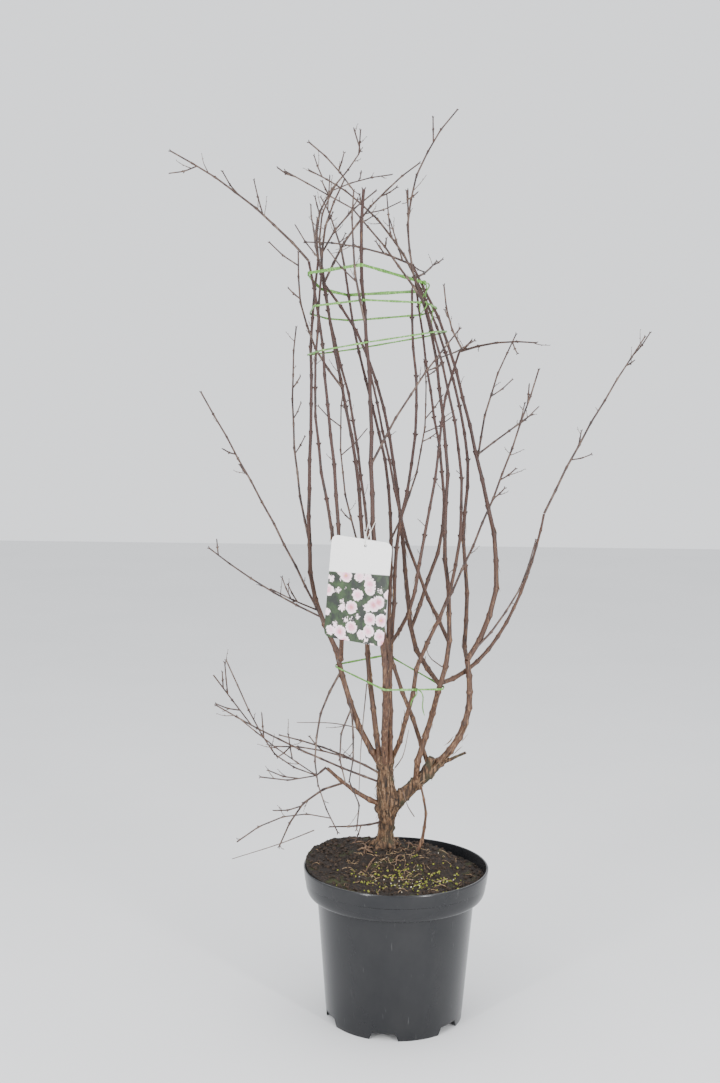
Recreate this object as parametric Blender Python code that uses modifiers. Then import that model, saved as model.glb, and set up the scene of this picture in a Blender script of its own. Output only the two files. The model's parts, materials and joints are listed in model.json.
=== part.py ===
# A potted beautybush in winter: bare arching stems from one short gnarled trunk,
# drawn together by green ties, with a hanging label, in a dark plastic nursery pot.
# Metres, +Z up. The origin is the middle of the pot's foot, on the ground; -Y is the front.

import math
import random

import bpy
import bmesh
from mathutils import Matrix, Vector, noise

GAP = 0.0003                    # air left between neighbouring solids
WELD = 0.00001

# Pot: a 15 litre nursery pot
POT_HEIGHT = 0.255
RIM_RADIUS = 0.153
WALL_TOP_RADIUS = 0.130         # under the collar
FOOT_RADIUS = 0.113
WALL = 0.0022
COLLAR_BOTTOM = 0.208
COLLAR_LEDGE = 0.232
COLLAR_BOTTOM_RADIUS = 0.141
COLLAR_LEDGE_RADIUS = 0.1495
FLOOR_HEIGHT = 0.013            # the floor stands on a low foot ring
NOTCHES = 6
NOTCH_FIRST = -9.5              # degrees from the front, towards +X
NOTCH_HALF = 13.0
ROUND_STEPS = 48

# Soil: heaped over the rim at the left, sunk at the right and back, level round the stems' feet
SOIL_RIM = 0.249
SOIL_HEAP = 0.017
SOIL_SINK = 0.011
SOIL_ROUGH = 0.0022
GROUND = 0.268
SOIL_RINGS = 10
LEVEL_REACH = 0.036

# Trunk: (height, across, back, radius) from the ground to the head that the stems spring from
TRUNK = (
    (0.268, -0.018, 0.058, 0.0200),
    (0.280, -0.017, 0.056, 0.0150),
    (0.300, -0.016, 0.052, 0.0132),
    (0.322, -0.015, 0.047, 0.0150),
    (0.345, -0.013, 0.042, 0.0205),
    (0.364, -0.016, 0.037, 0.0172),
    (0.385, -0.019, 0.032, 0.0148),
    (0.408, -0.019, 0.027, 0.0125),
    (0.424, -0.019, 0.023, 0.0150),
    (0.432, -0.019, 0.022, 0.0125),
)
TRUNK_SIDES = 12
ROOT_TOES = 5
HEAD_RING = 0.0105              # the column's stems stand in a ring on the head
SUCKER_FOOT = (0.034, 0.032)

# The stems form a round cage. At these heights its middle, half width, half depth
# and the place of its middle behind the pot's axis are:
LEVELS = (0.44, 0.49, 0.55, 0.61, 0.70, 0.80, 0.91, 1.02, 1.13, 1.24)
CAGE_MIDDLE = (-0.020, -0.008, 0.006, 0.006, 0.005, 0.004, -0.006, -0.022, -0.042, -0.065)
CAGE_HALF_WIDTH = (0.021, 0.054, 0.105, 0.126, 0.158, 0.162, 0.153, 0.140, 0.122, 0.090)
CAGE_HALF_DEPTH = (0.021, 0.041, 0.070, 0.086, 0.110, 0.125, 0.121, 0.112, 0.098, 0.080)
CAGE_SET_BACK = (0.022, 0.020, 0.018, 0.016, 0.012, 0.008, 0.005, 0.002, 0.000, 0.000)

# Stems. Each springs from its parent, either at a height on it or from a bearing on the
# trunk's head, keeps to a share of the cage's depth (-1 front, 1 back), and stands so far
# across at each level from `first` on; the last place is at its top.
STEMS = {
    "bough_left": dict(
        parent="trunk", at=0.402, share=0.10, foot=0.0055, tip=0.0026, first=0, top=1.240,
        across=(-0.042, -0.067, -0.088, -0.103, -0.140, -0.149, -0.149, -0.147, -0.148, -0.138)),
    "bough_column_left": dict(
        parent="trunk", bearing=202, share=0.35, foot=0.0050, tip=0.0030, first=0, top=1.232,
        across=(-0.031, -0.038, -0.046, -0.052, -0.055, -0.063, -0.073, -0.094, -0.116, -0.132)),
    "bough_centre": dict(
        parent="trunk", bearing=265, share=-0.80, foot=0.0055, tip=0.0032, first=0, top=1.345,
        across=(-0.021, -0.021, -0.021, -0.025, -0.036, -0.044, -0.050, -0.052, -0.061, -0.070,
                -0.067)),
    "bough_column_right": dict(
        parent="trunk", bearing=318, share=-0.35, foot=0.0045, tip=0.0025, first=0, top=1.196,
        across=(-0.012, -0.012, -0.014, -0.014, -0.010, -0.007, 0.013, 0.021, 0.012, 0.011)),
    "bough_column_back": dict(
        parent="trunk", bearing=110, share=0.85, foot=0.0045, tip=0.0025, first=0, top=1.232,
        across=(-0.022, -0.022, -0.019, -0.017, -0.014, -0.014, -0.024, -0.051, -0.079, -0.096)),
    "bough_column_outer": dict(
        parent="trunk", bearing=30, share=-0.60, foot=0.0042, tip=0.0024, first=0, top=1.168,
        across=(-0.003, 0.010, 0.023, 0.033, 0.072, 0.091, 0.092, 0.074, 0.045, 0.033)),
    "bough_right_bow": dict(
        parent="bough_right_low", at=0.598, share=0.30, foot=0.0050, tip=0.0028, first=3, top=1.235,
        across=(0.124, 0.156, 0.153, 0.127, 0.099, 0.065, 0.013)),
    "bough_right_upright": dict(
        parent="bough_right_low", at=0.600, share=0.70, foot=0.0040, tip=0.0026, first=3, top=1.222,
        across=(0.110, 0.114, 0.106, 0.111, 0.092, 0.058, 0.016)),
    "bough_right_inner": dict(
        parent="bough_right_low", at=0.381, share=-0.45, foot=0.0055, tip=0.0028, first=0, top=1.215,
        across=(0.037, 0.054, 0.064, 0.079, 0.078, 0.068, 0.071, 0.059, 0.042, 0.014)),
    "bough_crossing": dict(
        parent="bough_right_low", at=0.405, share=0.72, foot=0.0040, tip=0.0025, first=1, top=1.209,
        across=(0.026, 0.002, -0.019, -0.038, -0.053, -0.068, -0.086, -0.115, -0.131)),
    "bough_middle": dict(
        parent="bough_right_inner", at=0.560, share=0.55, foot=0.0045, tip=0.0028, first=3, top=1.205,
        across=(0.028, 0.014, 0.004, -0.011, -0.033, -0.075, -0.128)),
    "bough_middle_right": dict(
        parent="bough_middle", at=0.640, share=0.85, foot=0.0036, tip=0.0024, first=4, top=1.216,
        across=(0.044, 0.073, 0.069, 0.050, 0.032, 0.018)),
    "bough_inner_left": dict(
        parent="bough_right_inner", at=0.632, share=0.35, foot=0.0034, tip=0.0024, first=4, top=1.062,
        across=(0.046, 0.008, -0.017, -0.042, -0.052)),
    "bough_front": dict(
        parent="bough_column_right", at=0.630, share=-0.90, foot=0.0034, tip=0.0024, first=4,
        top=1.098, across=(0.015, 0.031, 0.050, 0.062, 0.087)),
    "bough_left_front": dict(
        parent="bough_left", at=0.592, share=-0.90, foot=0.0042, tip=0.0026, first=3, top=1.237,
        across=(-0.094, -0.095, -0.099, -0.107, -0.120, -0.131, -0.152)),
    "bough_left_inner": dict(
        parent="bough_left_front", at=0.690, share=-0.55, foot=0.0032, tip=0.0023, first=5,
        top=1.216, across=(-0.108, -0.129, -0.140, -0.137, -0.132)),
}

# Limbs that leave sideways: where they start, the way they leave and arrive, and their tip.
# A snag is a short dead end on a limb: its share of the way along, its tip and its radii.
SIDE_LIMBS = {
    "bough_right_low": dict(
        parent="trunk", start=(-0.007, 0.040, 0.344), leave=(0.073, 0.002, 0.076),
        arrive=(-0.028, -0.012, 0.148), tip=(0.112, 0.012, 0.598), foot=0.0112, end=0.0066,
        snags=((0.22, (0.058, 0.027, 0.429), 0.0075, 0.0062),
               (0.33, (0.112, 0.008, 0.444), 0.0034, 0.0022))),
    "bough_left_low": dict(
        parent="trunk", start=(-0.018, 0.040, 0.342), leave=(-0.042, -0.013, 0.018),
        arrive=(-0.028, -0.010, 0.029), tip=(-0.116, 0.018, 0.412), foot=0.0050, end=0.0038),
    "bough_sucker": dict(
        parent=None, start=(0.034, 0.032, 0.262), leave=(0.018, 0.000, 0.034),
        arrive=(-0.014, -0.004, 0.040), tip=(0.040, 0.018, 0.384), foot=0.0034, end=0.0024),
    "bough_far_right": dict(
        parent="bough_right_inner", start=(0.069, -0.007, 0.563), leave=(0.110, 0.098, 0.012),
        arrive=(0.018, 0.033, 0.082), tip=(0.238, 0.060, 0.836), foot=0.0042, end=0.0026),
}
LIMB_ORDER = list(SIDE_LIMBS)[:3] + list(STEMS) + list(SIDE_LIMBS)[3:]
STEM_SIDES = 6
LIMB_SIDES = 8
NODE_STEP = 0.046               # a stem has a knot, and a slight kink, this often
KINK = 0.0010

# Masses of bare twigs. The first shoot of each grows on from its limb's tip, or from the
# height `at` on it; the others fork off the shoot numbered `on` at a share of its length.
# A shoot ends at `tip`, and its middle stands off the straight line by `bow` (across, up).
MASSES = {
    "twigs_far_left": dict(limb="bough_left_front", twigs=3, shoots=(
        dict(tip=(-0.360, -0.100, 1.394), bow=(0.007, 0.011)),)),
    "twigs_left_curl": dict(limb="bough_left", twigs=3, shoots=(
        dict(tip=(-0.092, -0.050, 1.375), bow=(-0.020, 0.006)),
        dict(on=0, at=1.0, tip=(-0.083, -0.060, 1.436), bow=(0.016, 0.000)))),
    "twigs_left_arch": dict(limb="bough_column_left", twigs=2, shoots=(
        dict(tip=(-0.117, 0.050, 1.357), bow=(-0.012, 0.002)),
        dict(on=0, at=1.0, tip=(-0.022, 0.110, 1.390), bow=(-0.002, 0.004)),
        dict(on=0, at=0.15, tip=(-0.048, -0.020, 1.348), bow=(-0.008, 0.005)))),
    "twigs_left_across": dict(limb="bough_middle", twigs=3, shoots=(
        dict(tip=(0.025, 0.120, 1.411), bow=(-0.014, 0.012)),)),
    "twigs_left_back": dict(limb="bough_crossing", twigs=3, shoots=(
        dict(tip=(-0.158, 0.220, 1.352), bow=(-0.004, 0.010)),)),
    "twigs_left_front": dict(limb="bough_left_inner", twigs=2, shoots=(
        dict(tip=(-0.096, -0.140, 1.349), bow=(-0.010, 0.004)),)),
    "twigs_back": dict(limb="bough_column_back", twigs=3, shoots=(
        dict(tip=(-0.140, 0.180, 1.361), bow=(0.004, 0.006)),)),
    "twigs_centre_hook": dict(limb="bough_centre", at=1.136, twigs=2, shoots=(
        dict(tip=(-0.082, -0.100, 1.339), bow=(-0.009, 0.000)),
        dict(on=0, at=1.0, tip=(-0.149, -0.150, 1.402), bow=(0.002, 0.004)))),
    "twigs_top": dict(limb="bough_right_inner", twigs=3, shoots=(
        dict(tip=(0.077, -0.020, 1.473), bow=(-0.035, 0.008)),
        dict(on=0, at=0.22, tip=(0.001, -0.060, 1.345), bow=(0.000, 0.000)))),
    "twigs_right_sweep": dict(limb="bough_right_bow", twigs=2, shoots=(
        dict(tip=(-0.162, 0.064, 1.275), bow=(0.003, 0.010)),
        dict(on=0, at=0.10, tip=(-0.024, 0.060, 1.312), bow=(0.000, 0.000)))),
    "twigs_right_back": dict(limb="bough_right_upright", twigs=4, shoots=(
        dict(tip=(-0.160, 0.170, 1.404), bow=(0.016, 0.015)),)),
    "twigs_right_short": dict(limb="bough_middle_right", twigs=2, shoots=(
        dict(tip=(0.057, 0.140, 1.253), bow=(0.002, -0.003)),)),
    "twigs_right_across": dict(limb="bough_column_outer", twigs=3, shoots=(
        dict(tip=(-0.084, -0.150, 1.307), bow=(0.003, 0.003)),
        dict(on=0, at=1.0, tip=(-0.183, -0.170, 1.357), bow=(0.000, 0.000)))),
    "twigs_right_front": dict(limb="bough_front", twigs=2, shoots=(
        dict(tip=(0.193, -0.160, 1.112), bow=(0.000, 0.007)),
        dict(on=0, at=0.05, tip=(0.104, -0.060, 1.117), bow=(0.000, 0.000)),
        dict(on=0, at=0.05, tip=(0.058, -0.080, 1.200), bow=(-0.007, -0.002)))),
    "twigs_front": dict(limb="bough_centre", at=0.922, twigs=2, shoots=(
        dict(tip=(0.081, -0.130, 1.133), bow=(-0.007, 0.004)),)),
    "twigs_left_thin": dict(limb="bough_column_left", at=1.040, twigs=2, shoots=(
        dict(tip=(-0.167, -0.060, 1.249), bow=(-0.022, -0.008)),)),
    "twigs_left_upright": dict(limb="bough_left", at=0.785, twigs=3, shoots=(
        dict(tip=(-0.175, 0.070, 1.138), bow=(-0.015, -0.001)),)),
    "twigs_left_middle": dict(limb="bough_left", at=0.648, twigs=5, shoots=(
        dict(tip=(-0.311, -0.120, 1.032), bow=(0.003, 0.003)),
        dict(on=0, at=0.05, tip=(-0.316, 0.050, 0.774), bow=(-0.003, -0.006)),
        dict(on=0, at=0.08, tip=(-0.208, -0.030, 0.718), bow=(-0.001, -0.001)))),
    "twigs_right_thin": dict(limb="bough_right_bow", at=0.926, twigs=2, shoots=(
        dict(tip=(0.189, 0.100, 1.132), bow=(-0.010, 0.003)),
        dict(on=0, at=0.05, tip=(0.221, 0.120, 0.999), bow=(0.012, 0.010)))),
    "twigs_right_fork": dict(limb="bough_right_bow", at=0.612, twigs=1, shoots=(
        dict(tip=(0.222, 0.030, 0.796), bow=(0.016, -0.006)),)),
    "twigs_far_right": dict(limb="bough_far_right", twigs=4, shoots=(
        dict(tip=(0.403, 0.100, 1.130), bow=(-0.007, 0.001)),)),
    "twigs_right_middle": dict(limb="bough_column_outer", at=0.683, twigs=4, shoots=(
        dict(tip=(0.193, -0.200, 1.072), bow=(0.008, -0.001)),)),
    "twigs_rear_right": dict(limb="bough_column_back", at=0.785, twigs=4, shoots=(
        dict(tip=(0.044, 0.270, 1.089), bow=(0.023, -0.005)),)),
    "twigs_rear_left": dict(limb="bough_crossing", at=0.715, twigs=4, shoots=(
        dict(tip=(-0.098, 0.250, 1.044), bow=(-0.025, -0.010)),)),
    "twigs_low_left": dict(limb="trunk", at=0.382, twigs=3, shoots=(
        dict(tip=(-0.296, -0.030, 0.527), bow=(-0.005, -0.006)),
        dict(on=0, at=0.79, tip=(-0.302, 0.000, 0.569), bow=(0.002, -0.003)))),
    "twigs_low_left_upper": dict(limb="trunk", at=0.396, twigs=2, shoots=(
        dict(tip=(-0.197, 0.060, 0.457), bow=(0.004, 0.007)),
        dict(on=0, at=0.20, tip=(-0.203, 0.010, 0.450), bow=(0.000, 0.010)))),
    "twigs_low_left_tip": dict(limb="bough_left_low", twigs=3, shoots=(
        dict(tip=(-0.134, 0.010, 0.401), bow=(0.000, 0.001)),
        dict(on=0, at=1.0, tip=(-0.225, 0.020, 0.467), bow=(-0.013, -0.008)),
        dict(on=1, at=1.0, tip=(-0.286, 0.040, 0.588), bow=(0.003, -0.010)),
        dict(on=0, at=1.0, tip=(-0.261, -0.050, 0.514), bow=(-0.002, -0.002)),
        dict(on=0, at=1.0, tip=(-0.224, -0.030, 0.409), bow=(0.000, -0.007)))),
    "twigs_low_left_droop": dict(limb="bough_left_low", at=0.386, twigs=1, shoots=(
        dict(tip=(-0.190, -0.080, 0.308), bow=(-0.012, 0.020)),)),
    "twigs_hanging": dict(limb="bough_left", at=0.540, twigs=0, shoots=(
        dict(tip=(-0.079, -0.020, 0.400), bow=(0.009, 0.000)),
        dict(on=0, at=1.0, tip=(-0.066, -0.030, 0.322), bow=(0.011, 0.000)),
        dict(on=0, at=0.20, tip=(-0.084, -0.036, 0.399), bow=(-0.015, 0.000)))),
    "twigs_loop": dict(limb="bough_left", at=0.576, twigs=0, shoots=(
        dict(tip=(-0.129, -0.050, 0.402), bow=(-0.019, 0.003)),
        dict(on=0, at=1.0, tip=(-0.096, -0.046, 0.322), bow=(-0.003, 0.000)),
        dict(on=1, at=0.70, tip=(-0.255, -0.090, 0.320), bow=(0.000, 0.022)))),
    "twigs_trunk_foot": dict(limb="trunk", at=0.315, twigs=1, shoots=(
        dict(tip=(-0.110, -0.010, 0.321), bow=(0.006, -0.003)),)),
}
FIRST_SEED = 11
SHOOT_FOOT = 0.0021
SHOOT_TIP = 0.0012
TWIG_FOOT = 0.0013
TWIG_TIP = 0.0010
TWIG_LENGTHS = (0.020, 0.070)
TWIG_ANGLES = (32, 58)          # degrees off its shoot
TWIG_CLEARANCE = 0.002
SHOOT_STEP = 0.042

# Ties are drawn round the stems: height at the pot's axis, rise to the right and to the back
TIES = {
    "tie_low": dict(height=0.567, across=-0.123, back=0.226, radius=0.0016),
    "tie_neck": dict(height=1.120, across=0.181, back=-0.024, radius=0.0014),
    "tie_upper": dict(height=1.168, across=0.062, back=-0.155, radius=0.0014),
    "tie_top": dict(height=1.211, across=0.001, back=-0.260, radius=0.0020),
}
TIE_SIDES = 6
TIE_TURNS = 12                  # points round each stem that the tie may lie on
TIE_SLACK = 1.10                # the stems pass through it at a slant

# Label: a card hung by a string from the centre stem
LABEL_WIDTH = 0.103
LABEL_HEIGHT = 0.162
LABEL_THICK = 0.0008
LABEL_MIDDLE = (-0.069, -0.118, 0.730)
LABEL_TILT = 4.7                # degrees, its head towards +X
LABEL_TURN = 25.5               # degrees, its right edge towards the front
LABEL_CORNER = 0.010
LABEL_HOLE = 0.0025
LABEL_HOLE_PLACE = (0.007, 0.071)
STRING_RADIUS = 0.0006
STRING_HEIGHT = 0.838
STRING_LOOP = 8


def clear_scene():
    for obj in list(bpy.data.objects):
        bpy.data.objects.remove(obj)


def collection(name):
    made = bpy.data.collections.new(name)
    bpy.context.scene.collection.children.link(made)
    return made


def material(name, colour, roughness):
    made = bpy.data.materials.new(name)
    made.use_nodes = True
    shader = made.node_tree.nodes["Principled BSDF"]
    shader.inputs["Base Color"].default_value = (*colour, 1.0)
    shader.inputs["Roughness"].default_value = roughness
    shader.inputs["Metallic"].default_value = 0.0
    return made


def add_object(name, mesh, group, finish=None):
    obj = bpy.data.objects.new(name, mesh)
    group.objects.link(obj)
    if finish is not None:
        mesh.materials.clear()
        mesh.materials.append(finish)
    return obj


def applied_mesh(obj):
    bpy.context.view_layer.update()
    graph = bpy.context.evaluated_depsgraph_get()
    return bpy.data.meshes.new_from_object(obj.evaluated_get(graph))


def shade_round(mesh):
    mesh.shade_smooth()
    mesh.set_sharp_from_angle(angle=math.radians(40))


def tidy_mesh(mesh):
    shape = bmesh.new()
    shape.from_mesh(mesh)
    bmesh.ops.remove_doubles(shape, verts=shape.verts, dist=WELD)
    loose = [edge for edge in shape.edges if not edge.link_faces]
    bmesh.ops.delete(shape, geom=loose, context="EDGES")
    bmesh.ops.recalc_face_normals(shape, faces=shape.faces)
    shape.to_mesh(mesh)
    shape.free()


def is_sound(mesh):
    # Closed, and one body: every face is reached from the first across shared edges
    shape = bmesh.new()
    shape.from_mesh(mesh)
    bmesh.ops.triangulate(shape, faces=shape.faces)
    closed = all(len(edge.link_faces) == 2 for edge in shape.edges)
    shape.faces.ensure_lookup_table()
    reached = {shape.faces[0]}
    waiting = [shape.faces[0]]
    while waiting:
        for edge in waiting.pop().edges:
            fresh = [face for face in edge.link_faces if face not in reached]
            reached.update(fresh)
            waiting += fresh
    whole = len(reached) == len(shape.faces)
    shape.free()
    return closed and whole


def settle(obj, finish):
    # Applies the object's Booleans: exact ones, or manifold ones where those leave it open
    for solver in ("EXACT", "MANIFOLD"):
        for step in obj.modifiers:
            step.solver = solver
        mesh = applied_mesh(obj)
        tidy_mesh(mesh)
        if is_sound(mesh):
            break
    obj.modifiers.clear()
    obj.data = mesh
    mesh.materials.clear()
    mesh.materials.append(finish)


def tube_mesh(name, points, radii, sides, closed=False):
    # A POLY curve with a radius at each point; three sides come from a triangular profile
    curve = bpy.data.curves.new(name, "CURVE")
    curve.dimensions = "3D"
    curve.use_fill_caps = not closed
    spline = curve.splines.new("POLY")
    spline.points.add(len(points) - 1)
    spline.use_cyclic_u = closed
    for knot, place, radius in zip(spline.points, points, radii):
        knot.co = (*place, 1.0)
        knot.radius = radius
    if sides == 3:
        curve.bevel_mode = "OBJECT"
        curve.bevel_object = bpy.data.objects["twig_profile"]
    else:
        curve.bevel_depth = 1.0
        curve.bevel_resolution = sides // 2 - 2
    obj = bpy.data.objects.new(name, curve)
    bpy.context.scene.collection.objects.link(obj)
    mesh = applied_mesh(obj)
    bpy.data.objects.remove(obj)
    tidy_mesh(mesh)
    return mesh


def add_twig_profile(group):
    curve = bpy.data.curves.new("twig_profile", "CURVE")
    spline = curve.splines.new("POLY")
    spline.points.add(2)
    spline.use_cyclic_u = True
    for k, knot in enumerate(spline.points):
        turn = math.radians(120 * k)
        knot.co = (math.cos(turn), math.sin(turn), 0.0, 1.0)
    obj = bpy.data.objects.new("twig_profile", curve)
    group.objects.link(obj)
    obj.hide_render = True
    obj.display_type = "WIRE"


def grown_cutter(obj, group):
    # A copy that stands out by the gap, to cut a neighbour's foot to this solid's surface
    mesh = applied_mesh(obj)
    shape = bmesh.new()
    shape.from_mesh(mesh)
    shape.normal_update()
    moves = [vert.normal * GAP * 1.4 for vert in shape.verts]
    for vert, move in zip(shape.verts, moves):
        vert.co += move
    shape.to_mesh(mesh)
    shape.free()
    cutter = add_object("cut_" + obj.name, mesh, group)
    cutter.hide_render = True
    cutter.display_type = "WIRE"
    return cutter


def cut_with(obj, cutter):
    cut = obj.modifiers.new("seat_" + cutter.name, "BOOLEAN")
    cut.operation = "DIFFERENCE"
    cut.object = cutter


def union_of(name, meshes, group, finish):
    # One Boolean union on a collection joins the first mesh with all the others
    pool = collection(name + "_pieces")
    body = add_object(name, meshes[0], group, finish)
    for mesh in meshes[1:]:
        add_object(name + "_piece", mesh, pool)
    if len(meshes) > 1:
        join = body.modifiers.new("join", "BOOLEAN")
        join.operation = "UNION"
        join.operand_type = "COLLECTION"
        join.collection = pool
        settle(body, finish)
    for piece in list(pool.objects):
        bpy.data.objects.remove(piece)
    bpy.data.collections.remove(pool)
    return body


def at_level(values, height):
    # Straight interpolation of a row of the cage's sizes
    if height <= LEVELS[0]:
        return values[0]
    for k in range(len(LEVELS) - 1):
        if height <= LEVELS[k + 1]:
            share = (height - LEVELS[k]) / (LEVELS[k + 1] - LEVELS[k])
            return values[k] + (values[k + 1] - values[k]) * share
    return values[-1]


def cage_place(across, height, share):
    # The point of the cage so far across: it stands on an ellipse, in front or behind
    half = at_level(CAGE_HALF_WIDTH, height)
    off = min(1.0, abs(across - at_level(CAGE_MIDDLE, height)) / half)
    depth = at_level(CAGE_HALF_DEPTH, height) * math.sqrt(1.0 - off * off)
    return Vector((across, at_level(CAGE_SET_BACK, height) + share * depth, height))


def smooth_line(points, step):
    # A Catmull-Rom curve through the points, cut into even steps
    ends = [points[0] * 2 - points[1]] + list(points) + [points[-1] * 2 - points[-2]]
    fine = []
    for k in range(1, len(ends) - 2):
        a, b, c, d = ends[k - 1:k + 3]
        for j in range(12):
            t = j / 12
            fine.append(0.5 * ((2 * b) + (c - a) * t + (2 * a - 5 * b + 4 * c - d) * t * t
                               + (3 * b - a - 3 * c + d) * t ** 3))
    fine.append(points[-1].copy())
    return even_steps(fine, step)


def even_steps(line, step):
    lengths = [0.0]
    for a, b in zip(line, line[1:]):
        lengths.append(lengths[-1] + (b - a).length)
    count = max(2, round(lengths[-1] / step))
    made = []
    k = 0
    for j in range(count + 1):
        want = lengths[-1] * j / count
        while k < len(line) - 2 and lengths[k + 1] < want:
            k += 1
        span = max(lengths[k + 1] - lengths[k], 1e-9)
        made.append(line[k].lerp(line[k + 1], min(1.0, (want - lengths[k]) / span)))
    return made


def bent_line(start, leave, arrive, tip, step):
    a, b, c, d = start, start + leave, tip - arrive, tip
    fine = []
    for k in range(33):
        t = k / 32
        fine.append(a * (1 - t) ** 3 + b * 3 * t * (1 - t) ** 2 + c * 3 * t * t * (1 - t) + d * t ** 3)
    return even_steps(fine, step)


def bowed_line(start, tip, bow, step):
    middle = (start + tip) / 2 + Vector((bow[0], 0.0, bow[1])) * 2
    leave = (middle - start) * 2 / 3
    arrive = (tip - middle) * 2 / 3
    return bent_line(start, leave, arrive, tip, step)


def kinked(line, seed):
    # Shoots turn a little from side to side at their knots
    maker = random.Random(seed)
    side = Vector((math.cos(seed), math.sin(seed), 0.0))
    made = [line[0]]
    for k, point in enumerate(line[1:-1]):
        made.append(point + side * KINK * (1 if k % 2 else -1) * maker.uniform(0.4, 1.0))
    made.append(line[-1])
    return made


def taper(count, foot, tip):
    return [foot + (tip - foot) * k / (count - 1) for k in range(count)]


class Limb:
    # A line of places and radii, kept so that others can spring from it or keep clear
    def __init__(self, line, radii):
        self.line = line
        self.radii = radii

    def at_height(self, height):
        for k in range(len(self.line) - 1):
            a, b = self.line[k], self.line[k + 1]
            if a.z <= height <= b.z:
                share = (height - a.z) / (b.z - a.z)
                return self.between(k, share)
        return self.between(len(self.line) - 2, 1.0)

    def at_share(self, share):
        place = share * (len(self.line) - 1)
        k = min(int(place), len(self.line) - 2)
        return self.between(k, place - k)

    def between(self, k, share):
        a, b = self.line[k], self.line[k + 1]
        radius = self.radii[k] + (self.radii[k + 1] - self.radii[k]) * share
        return a.lerp(b, share), (b - a).normalized(), radius


def pot_profile():
    # Runs down the outside, under the foot, and up the inside
    outer = [(RIM_RADIUS - 0.0015, POT_HEIGHT), (RIM_RADIUS, POT_HEIGHT - 0.0008),
             (RIM_RADIUS, POT_HEIGHT - 0.003), (COLLAR_LEDGE_RADIUS + 0.0012, COLLAR_LEDGE + 0.0008),
             (COLLAR_LEDGE_RADIUS, COLLAR_LEDGE)]
    for k in range(1, 5):
        turn = math.radians(90 * k / 4)
        outer.append((COLLAR_BOTTOM_RADIUS
                      + (COLLAR_LEDGE_RADIUS - COLLAR_BOTTOM_RADIUS) * math.cos(turn),
                      COLLAR_LEDGE - (COLLAR_LEDGE - COLLAR_BOTTOM) * math.sin(turn)))
    outer += [(WALL_TOP_RADIUS + 0.0008, COLLAR_BOTTOM - 0.0005),
              (WALL_TOP_RADIUS, COLLAR_BOTTOM - 0.004),
              (FOOT_RADIUS + 0.0012, FLOOR_HEIGHT), (FOOT_RADIUS, 0.0)]
    under = [(FOOT_RADIUS - WALL, 0.0), (FOOT_RADIUS - WALL + 0.001, FLOOR_HEIGHT), (0.0, FLOOR_HEIGHT)]
    inner = [(0.0, FLOOR_HEIGHT + WALL), (inside_radius(FLOOR_HEIGHT + WALL), FLOOR_HEIGHT + WALL),
             (inside_radius(COLLAR_BOTTOM), COLLAR_BOTTOM),
             (inside_radius(COLLAR_BOTTOM + 0.006), COLLAR_BOTTOM + 0.006),
             (inside_radius(POT_HEIGHT), POT_HEIGHT)]
    return outer + under + inner


def inside_radius(height):
    # The pot's inner wall: it follows the outer wall, then steps out behind the collar
    if height <= COLLAR_BOTTOM:
        share = height / COLLAR_BOTTOM
        return FOOT_RADIUS + (WALL_TOP_RADIUS - FOOT_RADIUS) * share - WALL
    share = min(1.0, (height - COLLAR_BOTTOM) / 0.006)
    collar = COLLAR_BOTTOM_RADIUS - WALL
    narrow = WALL_TOP_RADIUS - WALL
    wide = collar + (RIM_RADIUS - 0.003 - collar) * (height - COLLAR_BOTTOM) / (POT_HEIGHT - COLLAR_BOTTOM)
    return narrow + (wide - narrow) * share


def turned_mesh(name, profile):
    mesh = bpy.data.meshes.new(name)
    edges = [(k, k + 1) for k in range(len(profile) - 1)]
    if profile[0][0] > 0 and profile[-1][0] > 0:
        edges.append((len(profile) - 1, 0))
    mesh.from_pydata([(radius, 0.0, height) for radius, height in profile], edges, [])
    obj = bpy.data.objects.new(name, mesh)
    bpy.context.scene.collection.objects.link(obj)
    turn = obj.modifiers.new("turn", "SCREW")
    turn.steps = ROUND_STEPS
    turn.render_steps = ROUND_STEPS
    turn.use_merge_vertices = True
    turn.merge_threshold = 0.0001
    made = applied_mesh(obj)
    bpy.data.objects.remove(obj)
    tidy_mesh(made)
    return made


def add_pot(group, cutters, finish):
    pot = add_object("pot", turned_mesh("pot", pot_profile()), group, finish)
    for k in range(NOTCHES):
        bearing = math.radians(NOTCH_FIRST + 360 * k / NOTCHES)
        cut_with(pot, notch_cutter(k, bearing, cutters))
    settle(pot, finish)
    shade_round(pot.data)
    return pot


def notch_cutter(number, bearing, group):
    # A wedge-sided block through the foot ring, narrower at its top
    low = FOOT_RADIUS * math.sin(math.radians(NOTCH_HALF))
    high = low * 0.72
    top = FLOOR_HEIGHT - 0.0004
    curve = bpy.data.curves.new("notch", "CURVE")
    curve.dimensions = "2D"
    curve.fill_mode = "BOTH"
    curve.extrude = 0.010
    spline = curve.splines.new("POLY")
    spline.points.add(5)
    spline.use_cyclic_u = True
    outline = ((-low, -0.004), (low, -0.004), (low, 0.002), (high, top), (-high, top), (-low, 0.002))
    for knot, place in zip(spline.points, outline):
        knot.co = (*place, 0.0, 1.0)
    flat = bpy.data.objects.new("notch", curve)
    bpy.context.scene.collection.objects.link(flat)
    mesh = applied_mesh(flat)
    bpy.data.objects.remove(flat)
    out = Vector((math.sin(bearing), -math.cos(bearing), 0.0))
    turn = Matrix.Rotation(bearing, 4, "Z") @ Matrix.Rotation(math.radians(90), 4, "X")
    mesh.transform(Matrix.Translation(out * (FOOT_RADIUS - WALL / 2)) @ turn)
    tidy_mesh(mesh)
    cutter = add_object("notch_%d" % (number + 1), mesh, group)
    cutter.hide_render = True
    cutter.display_type = "WIRE"
    return cutter


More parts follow.
